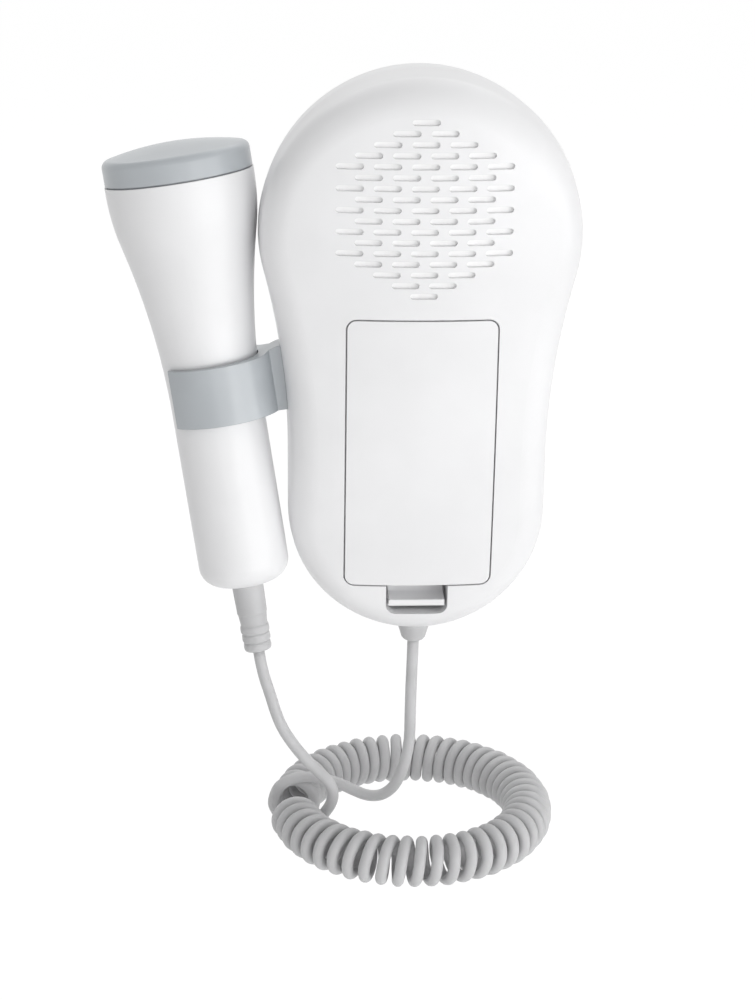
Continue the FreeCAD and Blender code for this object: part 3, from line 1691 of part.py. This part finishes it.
coil = DOC.addObject("Part::Torus", "cord_coil")
bind(coil, "Radius1", P.coil_radius)
bind(coil, "Radius2", P.coil_tube)
bind(coil, "Angle3", 360.0 - P.coil_gap)
coil.Placement = Placement(
    Vector(mm(P.coil_x), mm(P.coil_y), mm(P.coil_height - P.grip_height)),
    Rotation(Vector(0, 0, 1), 180 + mm(P.coil_gap) / 2),
)
node("cord_coil", coil)


# ---- check and write ------------------------------------------------------------------------------------

DOC.recompute()
faults = [o.Name for o in DOC.Objects if "Invalid" in o.State or "Error" in o.State]
for name, made in NODES.items():
    shape = made.Shape
    if shape.isNull() or not shape.isValid() or not shape.Solids:
        faults.append(f"{name} has no valid solid")
    print(f"{name:26s} solids {len(shape.Solids)} volume {shape.Volume:10.1f}")
if faults:
    raise RuntimeError("failed: " + ", ".join(faults))
os.makedirs("parts", exist_ok=True)
for name, made in NODES.items():
    made.Shape.exportStep(f"parts/{name}.step")
print(len(NODES), "nodes written")
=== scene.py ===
import json
import math

import bmesh
import bpy
from mathutils import Matrix, Vector


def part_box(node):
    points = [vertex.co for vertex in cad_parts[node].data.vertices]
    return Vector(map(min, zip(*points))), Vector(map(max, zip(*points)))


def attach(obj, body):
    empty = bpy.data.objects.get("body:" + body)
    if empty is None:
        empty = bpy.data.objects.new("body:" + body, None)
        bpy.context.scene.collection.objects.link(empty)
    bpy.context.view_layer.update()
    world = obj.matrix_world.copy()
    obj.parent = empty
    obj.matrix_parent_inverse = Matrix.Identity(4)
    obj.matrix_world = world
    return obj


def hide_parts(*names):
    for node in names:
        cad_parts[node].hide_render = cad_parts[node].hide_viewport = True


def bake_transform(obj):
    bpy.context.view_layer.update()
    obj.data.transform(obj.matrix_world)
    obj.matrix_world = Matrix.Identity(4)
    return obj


# Looks of the pocket fetal doppler, in metres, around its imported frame. The frame's origin is the middle of
# the hand grip, +Z goes up along the unit, and -Y is the side with the grille and the battery cover.

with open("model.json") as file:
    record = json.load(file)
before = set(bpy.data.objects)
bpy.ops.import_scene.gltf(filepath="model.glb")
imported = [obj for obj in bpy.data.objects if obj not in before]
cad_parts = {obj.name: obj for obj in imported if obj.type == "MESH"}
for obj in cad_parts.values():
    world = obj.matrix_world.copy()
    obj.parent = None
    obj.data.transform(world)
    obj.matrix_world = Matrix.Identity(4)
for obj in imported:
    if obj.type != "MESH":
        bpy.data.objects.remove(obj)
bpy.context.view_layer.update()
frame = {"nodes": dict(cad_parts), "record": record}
NODES = frame["nodes"]

SCENE = bpy.context.scene
SCENE.view_settings.view_transform = "Standard"
UP = Vector((0, 0, 1))


def mm(x, y, z):
    """A place given in millimetres, in metres."""
    return Vector((x, y, z)) * 0.001


def way_to(azimuth, height):
    """Direction from the unit at these angles: azimuth from the grille side towards +X, and height."""
    return Vector(
        (
            math.sin(azimuth) * math.cos(height),
            -math.cos(azimuth) * math.cos(height),
            math.sin(height),
        )
    )


# ---- camera ---------------------------------------------------------------------------------------------

VIEW_AZIMUTH = math.radians(2.944)      # from the grille side towards -X
VIEW_HEIGHT = math.radians(19.091)
VIEW_ROLL = math.radians(0.636)
VIEW_DISTANCE = 0.5839
VIEW_TARGET = mm(-9.05, 0.0, -17.85)
LENS, SENSOR = 88.24, 36.0              # in millimetres
CLIP_START, CLIP_END = 0.01, 10.0


def make_camera():
    back = way_to(-VIEW_AZIMUTH, VIEW_HEIGHT)
    right = Vector((math.cos(VIEW_AZIMUTH), -math.sin(VIEW_AZIMUTH), 0.0))
    up = back.cross(right)
    across = math.cos(VIEW_ROLL) * right + math.sin(VIEW_ROLL) * up
    upright = -math.sin(VIEW_ROLL) * right + math.cos(VIEW_ROLL) * up
    data = bpy.data.cameras.new("camera")
    data.sensor_fit = "VERTICAL"
    data.sensor_height = SENSOR
    data.sensor_width = SENSOR
    data.lens = LENS
    data.clip_start, data.clip_end = CLIP_START, CLIP_END
    camera = bpy.data.objects.new("camera", data)
    SCENE.collection.objects.link(camera)
    turn = Matrix((across, upright, back)).transposed()
    camera.matrix_world = Matrix.Translation(VIEW_TARGET + back * VIEW_DISTANCE) @ turn.to_4x4()
    SCENE.camera = camera


make_camera()


# ---- materials ------------------------------------------------------------------------------------------

TONE_SPAN = (0.35, 0.65)            # part of the drift's noise over which one tone turns into the other
WEAR_SCALE = 3                      # of the roughness's noise, against the drift's
DRIFT_DETAIL, FINE_DETAIL = 3.0, 4.0
GRAIN_HEIGHT = 0.00004
EDGE_SAMPLES = 4


def shade(level):
    """Linear light of a display level of 0 to 255, by the sRGB curve."""
    share = level / 255
    return share / 12.92 if share <= 0.04045 else ((share + 0.055) / 1.055) ** 2.4


def tint(levels):
    """Linear colour of a red, a green and a blue display level."""
    return (*(shade(level) for level in levels), 1.0)


def add_node(owner, kind, **settings):
    """A new node of a material or a world. A setting is a property of the node or else one of its inputs."""
    made = owner.node_tree.nodes.new(kind)
    for key, value in settings.items():
        if hasattr(made, key):
            setattr(made, key, value)
        else:
            made.inputs[key.replace("_", " ")].default_value = value
    return made


def link(owner, source, output, target, socket):
    owner.node_tree.links.new(source.outputs[output], target.inputs[socket])


def noise_at(material, scale, detail):
    """A noise fixed to the piece's own coordinates."""
    place = add_node(material, "ShaderNodeTexCoord")
    noise = add_node(material, "ShaderNodeTexNoise", Scale=scale, Detail=detail)
    link(material, place, "Object", noise, "Vector")
    return noise


def drifting_tone(material, shader, dark, light, scale):
    """A soft drift over the surface from one tone to the other."""
    drift = noise_at(material, scale, DRIFT_DETAIL)
    ramp = add_node(material, "ShaderNodeValToRGB")
    first, last = ramp.color_ramp.elements
    first.position, first.color = TONE_SPAN[0], dark
    last.position, last.color = TONE_SPAN[1], light
    link(material, drift, "Fac", ramp, "Fac")
    link(material, ramp, "Color", shader, "Base Color")


def uneven_roughness(material, shader, roughness, uneven, scale):
    """A roughness that varies softly by `uneven` each way."""
    wear = noise_at(material, scale, FINE_DETAIL)
    spread = add_node(material, "ShaderNodeMapRange", To_Min=roughness - uneven, To_Max=roughness + uneven)
    link(material, wear, "Fac", spread, "Value")
    link(material, spread, "Result", shader, "Roughness")


def grained_surface(material, shader, bump, scale, edge):
    """A fine moulding grain, over mould edges that are rounded to the radius `edge`."""
    lift = add_node(material, "ShaderNodeBump", Strength=bump, Distance=GRAIN_HEIGHT)
    link(material, noise_at(material, scale, FINE_DETAIL), "Fac", lift, "Height")
    if edge:
        rounded = add_node(material, "ShaderNodeBevel", samples=EDGE_SAMPLES, Radius=edge)
        link(material, rounded, "Normal", lift, "Normal")
    link(material, lift, "Normal", shader, "Normal")


def finish(name, dark, light, roughness, uneven=0.0, drift=80.0, bump=0.1, grain=3000.0, edge=0.0, **inputs):
    """A Principled finish. `drift` and `grain` are noise scales, per metre; `inputs` go to the shader."""
    material = bpy.data.materials.new(name)
    material.use_nodes = True
    shader = material.node_tree.nodes["Principled BSDF"]
    shader.inputs["Base Color"].default_value = tint(dark)
    shader.inputs["Roughness"].default_value = roughness
    for socket, value in inputs.items():
        shader.inputs[socket.replace("_", " ")].default_value = value
    drifting_tone(material, shader, tint(dark), tint(light), drift)
    if uneven:
        uneven_roughness(material, shader, roughness, uneven, drift * WEAR_SCALE)
    grained_surface(material, shader, bump, grain, edge)
    return material


# the finish of each material slot, with its two tones as display levels
RECIPES = {
    # satin plastic of the housing, the battery cover with its latch, and the probe
    "white_shell": dict(
        dark=(237, 237, 238), light=(242, 242, 243), roughness=0.36, uneven=0.03,
        drift=35.0, bump=0.08, grain=2600.0, edge=0.00012,
        Specular_IOR_Level=0.35, Coat_Weight=0.1, Coat_Roughness=0.15,
    ),
    # the probe's clip and cap, and the keys
    "grey_plastic": dict(
        dark=(179, 184, 188), light=(186, 191, 195), roughness=0.34, uneven=0.03,
        drift=60.0, bump=0.08, edge=0.0003, Coat_Weight=0.2, Coat_Roughness=0.12,
    ),
    # soft, slightly translucent sheath of the cord, with its gland and strain relief
    "cord_grey": dict(
        dark=(196, 196, 197), light=(203, 203, 204), roughness=0.45, uneven=0.05,
        drift=120.0, bump=0.15, grain=4200.0, edge=0.00015, Specular_IOR_Level=0.4,
        Subsurface_Weight=0.6, Subsurface_Scale=0.002, Subsurface_Radius=(1.0, 1.0, 1.0),
    ),
    "window": dict(
        dark=(214, 218, 223), light=(218, 222, 227), roughness=0.03, bump=0.0,
        IOR=1.49, Transmission_Weight=1.0,
    ),
    "dark_plastic": dict(dark=(52, 54, 58), light=(60, 62, 66), roughness=0.5, uneven=0.06),
    "cloth": dict(
        dark=(250, 250, 250), light=(254, 254, 254), roughness=0.9,
        drift=400.0, bump=0.4, grain=9000.0, Sheen_Weight=0.3,
    ),
    "foam": dict(dark=(146, 149, 153), light=(156, 159, 163), roughness=0.9, bump=0.5),
    "steel": dict(dark=(196, 198, 200), light=(212, 214, 216), roughness=0.28, uneven=0.08, Metallic=1.0),
    "board": dict(dark=(22, 92, 58), light=(28, 104, 66), roughness=0.45),
    "cell": dict(dark=(54, 60, 72), light=(62, 68, 80), roughness=0.3, uneven=0.05),
    "lcd": dict(dark=(150, 158, 146), light=(156, 164, 152), roughness=0.25, bump=0.03),
    "light_guide": dict(dark=(236, 238, 236), light=(242, 244, 242), roughness=0.4),
    "magnet": dict(dark=(120, 122, 126), light=(136, 138, 142), roughness=0.35, Metallic=1.0),
    "crystal": dict(dark=(206, 200, 184), light=(216, 210, 194), roughness=0.4),
    "backing": dict(dark=(74, 70, 66), light=(86, 82, 78), roughness=0.8),
    "cone": dict(dark=(58, 60, 64), light=(70, 72, 76), roughness=0.75, bump=0.3, grain=5000.0),
}
FINISHES = {name: finish(name, **recipe) for name, recipe in RECIPES.items()}

SLOT_OF = {row["node"]: row["material_slot"] for row in frame["record"]["subparts"]}
for name, piece in NODES.items():
    piece.data.materials.clear()
    piece.data.materials.append(FINISHES[SLOT_OF[name]])


# ---- meshes ---------------------------------------------------------------------------------------------


def skin(made, rings):
    """Faces from each ring of points to the next, and one over each end."""
    for first, second in zip(rings, rings[1:]):
        for k in range(len(first)):
            after = (k + 1) % len(first)
            made.faces.new((first[k], first[after], second[after], second[k]))
    made.faces.new(reversed(rings[0]))
    made.faces.new(rings[-1])


def new_piece(name, made, slot):
    """A piece from a finished bmesh, in the finish of a material slot."""
    mesh = bpy.data.meshes.new(name)
    made.to_mesh(mesh)
    made.free()
    mesh.materials.append(FINISHES[slot])
    piece = bpy.data.objects.new(name, mesh)
    SCENE.collection.objects.link(piece)
    return piece


# ---- signs on the keys, figures and border on the display -----------------------------------------------

# in millimetres
SIGN_WIDTH, SIGN_RISE = 0.9, 0.08   # of a stroke on a key, and how far it stands out
SIGN_SINK = 0.05                    # by which every stroke reaches into its face
PLUS_SIZE, PLUS_GAP = 4.4, 0.5      # of the plus and the minus, and from the middle to the plus's side arms
MENU_BAR, MENU_STEP = 4.0, 1.6      # length and spacing of the menu sign's bars
POWER_RADIUS = 2.6
POWER_STEM, POWER_STEM_HEIGHT = 3.0, 2.0        # length of the stem and height of its middle
PRINT_RISE = 0.02                   # of what is printed on the display
FIGURE_WIDTH, FIGURE_HEIGHT = 8.0, 15.0
FIGURE_PLACES = {1: -15.0, 4: -3.4, 2: 8.4}     # each figure's middle, to the reader's right
BAR_WIDTH, BAR_SHORTER = 1.5, 2.0   # of a figure's bar, and by how much it is shorter than its side
BORDER_HALF_WIDTH, BORDER_HALF_HEIGHT, BORDER_RADIUS = 20.7, 16.2, 2.9     # of its middle line
BORDER_WIDTH = 2.1
BORDER_CUT = 3.0                    # about the length of one stretch of the border
OUTSIDE = 40.0                      # a place along Y, beyond the display side

POWER_OPENING = 70.0                # degrees of the power sign's ring that stay open

# straight stretches in a stroke, in a rounded corner and in the power sign's ring
STROKE_CUTS, CORNER_CUTS, POWER_CUTS = 6, 8, 28


def arc(radius, first, last, steps):
    """Points on an arc round the middle, by angles in degrees from its right."""
    angles = [math.radians(first + (last - first) * k / steps) for k in range(steps + 1)]
    return [(radius * math.cos(a), radius * math.sin(a)) for a in angles]


def bar(x, z, width, height):
    """A straight stroke through (x, z), cut up so that it follows a crowned face."""
    shares = [k / STROKE_CUTS - 0.5 for k in range(STROKE_CUTS + 1)]
    return [(x + width * share, z + height * share) for share in shares]


def round_loop(half_width, half_height, radius):
    """A closed rounded rectangle round the middle, cut up so that it follows a crowned face."""
    loop = []
    for turn, (x, z) in enumerate(((1, 1), (-1, 1), (-1, -1), (1, -1))):
        corner = arc(radius, turn * 90, turn * 90 + 90, CORNER_CUTS)
        loop += [(a + x * (half_width - radius), b + z * (half_height - radius)) for a, b in corner]
    loop.append(loop[0])
    cut = []
    for (x, z), (x_next, z_next) in zip(loop, loop[1:]):
        pieces = max(1, round(math.hypot(x_next - x, z_next - z) / BORDER_CUT))
        cut += [(x + (x_next - x) * k / pieces, z + (z_next - z) * k / pieces) for k in range(pieces)]
    return cut + [loop[0]]


def face_middle(node):
    """Middle of a node's box across its face."""
    low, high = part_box(node)
    return (low[0] + high[0]) / 2 * 1000, (low[2] + high[2]) / 2 * 1000


def strokes_on(name, node, body, strokes, width, rise):
    """Flat strokes laid on a node's outer (+Y) face, as it curves. `strokes` are lines of (x, z) from the
    face's middle, seen from outside, so that x runs to the reader's right."""
    target = NODES[node]
    middle_x, middle_z = face_middle(node)
    made = bmesh.new()

    def on_face(x, z, lift):
        """The place at (x, z) on the face, lifted off it."""
        start = mm(middle_x - x, OUTSIDE, middle_z + z)
        hit, place, _, _ = target.ray_cast(start, Vector((0, -1, 0)))
        if not hit:
            raise ValueError(f"{name} misses {node}")
        return place + mm(0.0, lift, 0.0)

    for stroke in strokes:
        rings = []
        for i, (x, z) in enumerate(stroke):
            before, after = stroke[max(i - 1, 0)], stroke[min(i + 1, len(stroke) - 1)]
            run = Vector((after[0] - before[0], after[1] - before[1])).normalized()
            aside = Vector((-run.y, run.x)) * width / 2
            sides = [(x + aside.x, z + aside.y), (x - aside.x, z - aside.y)]
            low = [on_face(*side, -SIGN_SINK) for side in sides]
            top = [on_face(*side, rise) for side in sides]
            rings.append([made.verts.new(p) for p in (low[0], low[1], top[1], top[0])])
        skin(made, rings)
    bmesh.ops.recalc_face_normals(made, faces=made.faces)
    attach(new_piece(name, made, "dark_plastic"), body)


def plus_strokes():
    arm = PLUS_SIZE / 2 - PLUS_GAP
    side = PLUS_GAP + arm / 2
    return [bar(0, 0, 0, PLUS_SIZE), bar(-side, 0, arm, 0), bar(side, 0, arm, 0)]


def power_strokes():
    """A ring that is open at its top, and a stem in the opening."""
    first = 90 + POWER_OPENING / 2
    ring = arc(POWER_RADIUS, first, first + 360 - POWER_OPENING, POWER_CUTS)
    return [ring, bar(0, POWER_STEM_HEIGHT, 0, POWER_STEM)]


def figure_strokes(number, across):
    """The lit bars of one seven-segment figure whose middle is `across` to the reader's right."""
    level = FIGURE_WIDTH - BAR_SHORTER
    upright = FIGURE_HEIGHT / 2 - BAR_SHORTER
    left, right = across - FIGURE_WIDTH / 2, across + FIGURE_WIDTH / 2
    places = {
        "top": bar(across, FIGURE_HEIGHT / 2, level, 0),
        "upper_left": bar(left, FIGURE_HEIGHT / 4, 0, upright),
        "upper_right": bar(right, FIGURE_HEIGHT / 4, 0, upright),
        "middle": bar(across, 0, level, 0),
        "lower_left": bar(left, -FIGURE_HEIGHT / 4, 0, upright),
        "lower_right": bar(right, -FIGURE_HEIGHT / 4, 0, upright),
        "bottom": bar(across, -FIGURE_HEIGHT / 2, level, 0),
    }
    lit = {
        1: ("upper_right", "lower_right"),
        2: ("top", "upper_right", "middle", "lower_left", "bottom"),
        4: ("upper_left", "upper_right", "middle", "lower_right"),
    }
    return [places[name] for name in lit[number]]


def make_key_signs():
    signs = {
        "power": power_strokes(),
        "mode": [bar(0, offset, MENU_BAR, 0) for offset in (-MENU_STEP, 0.0, MENU_STEP)],
        "volume_up": plus_strokes(),
        "volume_down": [bar(0, 0, PLUS_SIZE, 0)],
    }
    for key, strokes in signs.items():
        node = f"{key}_button"
        strokes_on(f"{key}_mark", node, node, strokes, SIGN_WIDTH, SIGN_RISE)


def make_display_print():
    figures = []
    for number, across in FIGURE_PLACES.items():
        figures += figure_strokes(number, across)
    strokes_on("rate_figures", "lcd_panel", "unit", figures, BAR_WIDTH, PRINT_RISE)
    border = round_loop(BORDER_HALF_WIDTH, BORDER_HALF_HEIGHT, BORDER_RADIUS)
    strokes_on("window_border", "display_window", "unit", [border], BORDER_WIDTH, PRINT_RISE)


make_key_signs()
make_display_print()


# ---- cord -----------------------------------------------------------------------------------------------

CORD_DIAMETER = 0.0028
CORD_SIDES = 16
COIL_CENTRE = mm(-0.4, -5.0, -96.4)
COIL_RADIUS = 0.0288                # middle of the small turns to the middle of the coil
COIL_START, COIL_END = 173.5, -172.5    # in degrees from +X
COIL_CORNERS = 24                   # of the line that bends into the coil's ring
TURN_RADIUS = 0.00474               # of the small turns, before the line smooths them
FIRST_TURN = 0.0005                 # by which the loose first turn is larger
FIRST_TURN_SPAN = 0.9               # turns over which it closes in
TURNS = 49
TURN_START, TURN_END = -5.0, -135.0 - TURNS * 360.0     # in degrees, within a small turn
TURN_CROWD = 0.00827                # share of the coil by which turns crowd behind and spread in front
TURN_UNEVEN = 0.012                 # share by which turns differ in size
UNEVEN_STEP = 2.3                   # radians of that coming and going, from one turn to the next
POINTS_PER_TURN = 14
RING_STEPS, CORD_STEPS = 6, 4       # points read from a smooth line for each of its control points
SAME_PLACE = 1e-5                   # points nearer than this are one

# in millimetres, outwards from where each lead leaves the unit or the probe
UNIT_LEAD = [
    (0.0, 0.0, -53.2),
    (-0.1, 0.0, -58.6),
    (-0.3, 0.1, -65.3),
    (-0.4, 0.3, -73.2),
    (-0.4, 0.5, -80.3),
    (-1.0, 0.6, -84.9),
    (-2.2, 0.7, -89.3),
    (-3.9, 0.8, -93.2),
    (-6.1, 0.8, -95.3),
    (-8.3, 0.8, -96.1),
    (-11.1, 0.7, -95.8),
    (-14.1, 0.5, -94.3),
    (-17.3, 0.3, -92.5),
    (-20.3, 0.0, -91.2),
    (-23.3, -0.3, -90.3),
    (-26.3, -0.6, -90.0),
    (-29.0, -0.9, -90.1),
    (-31.5, -1.4, -91.1),
    (-33.2, -1.6, -92.6),
]
PROBE_LEAD = [
    (-37.61, -5.54, -53.53),
    (-36.77, -6.06, -58.94),
    (-34.9, -6.5, -64.8),
    (-33.4, -7.1, -70.0),
    (-31.8, -7.6, -73.8),
    (-29.6, -8.1, -77.2),
    (-26.9, -8.6, -80.7),
    (-24.0, -9.1, -83.7),
    (-21.6, -9.6, -85.9),
    (-20.0, -10.0, -88.0),
    (-19.5, -10.2, -90.4),
    (-20.2, -10.0, -93.1),
    (-21.7, -9.4, -95.6),
    (-23.4, -8.9, -98.0),
]


def nurbs_line(name, points, resolution):
    """Points read from a smooth NURBS line that has the given control points."""
    curve = bpy.data.curves.new(name, "CURVE")
    curve.dimensions = "3D"
    spline = curve.splines.new("NURBS")
    spline.points.add(len(points) - 1)
    for place, point in zip(spline.points, points):
        place.co = (*point, 1.0)
    spline.order_u = 3
    spline.use_endpoint_u = True
    spline.resolution_u = resolution
    holder = bpy.data.objects.new(name, curve)
    SCENE.collection.objects.link(holder)
    mesh = bpy.data.meshes.new_from_object(holder)
    read = [v.co.copy() for v in mesh.vertices]
    bpy.data.objects.remove(holder)
    bpy.data.curves.remove(curve)
    bpy.data.meshes.remove(mesh)
    line = read[:1]
    for point in read[1:]:
        if (point - line[-1]).length > SAME_PLACE:
            line.append(point)
    return line


def along(line, share):
    """Place and direction at a share of a line's length."""
    lengths = [(b - a).length for a, b in zip(line, line[1:])]
    left = share * sum(lengths)
    for a, b, length in zip(line, line[1:], lengths):
        if left <= length or b is line[-1]:
            return a.lerp(b, left / length), (b - a).normalized()
        left -= length


def coil_ring():
    """Middle line of the coil, from the unit's lead round behind and back to the probe's."""
    step = (COIL_END - COIL_START) / COIL_CORNERS
    reach = COIL_RADIUS / math.cos(math.radians(step / 2))
    angles = [math.radians(COIL_START + step * k) for k in range(COIL_CORNERS + 1)]
    corners = [COIL_CENTRE + reach * Vector((math.cos(a), math.sin(a), 0)) for a in angles]
    return nurbs_line("coil_ring", corners, RING_STEPS)


def coil_points():
    """The curly cord's small turns, wound round the coil's middle line."""
    ring = coil_ring()
    turns = (TURN_START - TURN_END) / 360
    steps = round(turns * POINTS_PER_TURN)
    points = []
    for step in range(steps + 1):
        share = step / steps
        around = math.radians(COIL_START + (COIL_END - COIL_START) * share)
        crowd = TURN_CROWD * (math.cos(around) - math.cos(math.radians(COIL_START)))
        centre, ahead = along(ring, min(max(share - crowd, 0.0), 1.0))
        loose = FIRST_TURN * max(0.0, 1 - (share * turns / FIRST_TURN_SPAN) ** 2)
        radius = TURN_RADIUS * (1 + TURN_UNEVEN * math.sin(UNEVEN_STEP * share * turns)) + loose
        out = UP.cross(ahead)
        angle = math.radians(TURN_START - 360.0 * turns * share)
        points.append(centre + radius * (math.cos(angle) * out + math.sin(angle) * UP))
    return points


def tube_along(name, line, radius, slot):
    """A round tube along a line of points, with a frame that never twists, closed at both ends."""
    made = bmesh.new()
    last = len(line) - 1
    tangents = [(line[min(i + 1, last)] - line[max(i - 1, 0)]).normalized() for i in range(len(line))]
    angles = [2 * math.pi * k / CORD_SIDES for k in range(CORD_SIDES)]
    normal = tangents[0].orthogonal().normalized()
    rings = []
    for i, (point, tangent) in enumerate(zip(line, tangents)):
        if i:
            normal = (tangents[i - 1].rotation_difference(tangent) @ normal).normalized()
        side = tangent.cross(normal)
        ring = [point + radius * (math.cos(a) * normal + math.sin(a) * side) for a in angles]
        rings.append([made.verts.new(place) for place in ring])
    skin(made, rings)
    for face in made.faces:
        face.smooth = len(face.verts) == 4
    return new_piece(name, made, slot)


def make_cord():
    unit_lead = [mm(*place) for place in UNIT_LEAD]
    probe_lead = [mm(*place) for place in reversed(PROBE_LEAD)]
    line = nurbs_line("cord_route", unit_lead + coil_points() + probe_lead, CORD_STEPS)
    cord = tube_along("curly_cord", line, CORD_DIAMETER / 2, "cord_grey")
    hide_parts("unit_lead", "cord_coil", "probe_lead")
    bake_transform(cord)


make_cord()


# ---- floor, backdrop and light --------------------------------------------------------------------------

WHITE = (1.0, 1.0, 1.0, 1.0)
FLOOR_HEIGHT = -0.25
FLOOR_SIZE = 12.0
FLOOR_COLOUR = (0.9, 0.9, 0.9, 1.0)
FLOOR_GLOW = 1.1                    # a little over white, for the lit floor that is mixed with it is darker
SEEN_SHARE = 0.85                   # of the floor's look that is plain white; the rest takes the shadow
FRONT_LIGHT, BACK_LIGHT = 0.71, 0.22    # strength of the world on the grille side and on the display side
LAMP_DISTANCE = 1.1

# each softbox: azimuth from the grille side towards +X and height in degrees, size, and power in watts
SOFTBOXES = {
    "key": (48.0, -2.0, (1.2, 0.42), 4.6),
    "front": (14.0, -4.0, (1.0, 0.38), 1.9),
    "back": (180.0, 55.0, (1.4, 1.1), 5.2),
}


def looked_at(owner):
    """A node that is 1 where the camera, a gloss or a glass looks, and 0 for light that falls on things."""
    rays = add_node(owner, "ShaderNodeLightPath")
    sharp = add_node(owner, "ShaderNodeMath", operation="MAXIMUM")
    seen = add_node(owner, "ShaderNodeMath", operation="MAXIMUM")
    link(owner, rays, "Is Camera Ray", sharp, 0)
    link(owner, rays, "Is Glossy Ray", sharp, 1)
    link(owner, sharp, "Value", seen, 0)
    link(owner, rays, "Is Transmission Ray", seen, 1)
    return seen


def make_floor():
    material = bpy.data.materials.new("floor_white")
    material.use_nodes = True
    material.node_tree.nodes.clear()
    out = add_node(material, "ShaderNodeOutputMaterial")
    surface = add_node(material, "ShaderNodeBsdfDiffuse", Color=FLOOR_COLOUR)
    glow = add_node(material, "ShaderNodeEmission", Strength=FLOOR_GLOW)
    share = add_node(material, "ShaderNodeMath", operation="MULTIPLY")
    mix = add_node(material, "ShaderNodeMixShader")
    link(material, looked_at(material), "Value", share, 0)
    share.inputs[1].default_value = SEEN_SHARE
    link(material, share, "Value", mix, "Fac")
    link(material, surface, 0, mix, 1)
    link(material, glow, 0, mix, 2)
    link(material, mix, 0, out, "Surface")
    bpy.ops.mesh.primitive_plane_add(size=FLOOR_SIZE, location=(0, 0, FLOOR_HEIGHT))
    floor = bpy.context.object
    floor.name = "floor"
    floor.data.materials.append(material)


def make_world():
    """Soft light from all round, stronger from the grille side, and plain white where it is looked at."""
    world = bpy.data.worlds.new("studio")
    SCENE.world = world
    world.use_nodes = True
    glow = world.node_tree.nodes["Background"]
    glow.inputs["Color"].default_value = WHITE
    way = add_node(world, "ShaderNodeTexCoord")
    parts = add_node(world, "ShaderNodeSeparateXYZ")
    level = add_node(
        world, "ShaderNodeMapRange", From_Min=-1.0, From_Max=1.0, To_Min=FRONT_LIGHT, To_Max=BACK_LIGHT
    )
    link(world, way, "Generated", parts, "Vector")
    link(world, parts, "Y", level, "Value")
    link(world, level, "Result", glow, "Strength")
    seen = add_node(world, "ShaderNodeBackground", Color=WHITE, Strength=1.0)
    mix = add_node(world, "ShaderNodeMixShader")
    link(world, looked_at(world), "Value", mix, "Fac")
    link(world, glow, 0, mix, 1)
    link(world, seen, 0, mix, 2)
    link(world, mix, 0, world.node_tree.nodes["World Output"], "Surface")


def make_softbox(name, azimuth, height, size, power):
    """A softbox aimed at the unit."""
    lamp = bpy.data.lights.new(name, "AREA")
    lamp.shape = "RECTANGLE"
    lamp.size, lamp.size_y = size
    lamp.energy = power
    holder = bpy.data.objects.new(name, lamp)
    SCENE.collection.objects.link(holder)
    way = way_to(math.radians(azimuth), math.radians(height))
    holder.location = way * LAMP_DISTANCE
    holder.rotation_mode = "QUATERNION"
    holder.rotation_quaternion = (-way).to_track_quat("-Z", "Y")


make_floor()
make_world()
for name, setting in SOFTBOXES.items():
    make_softbox(name, *setting)
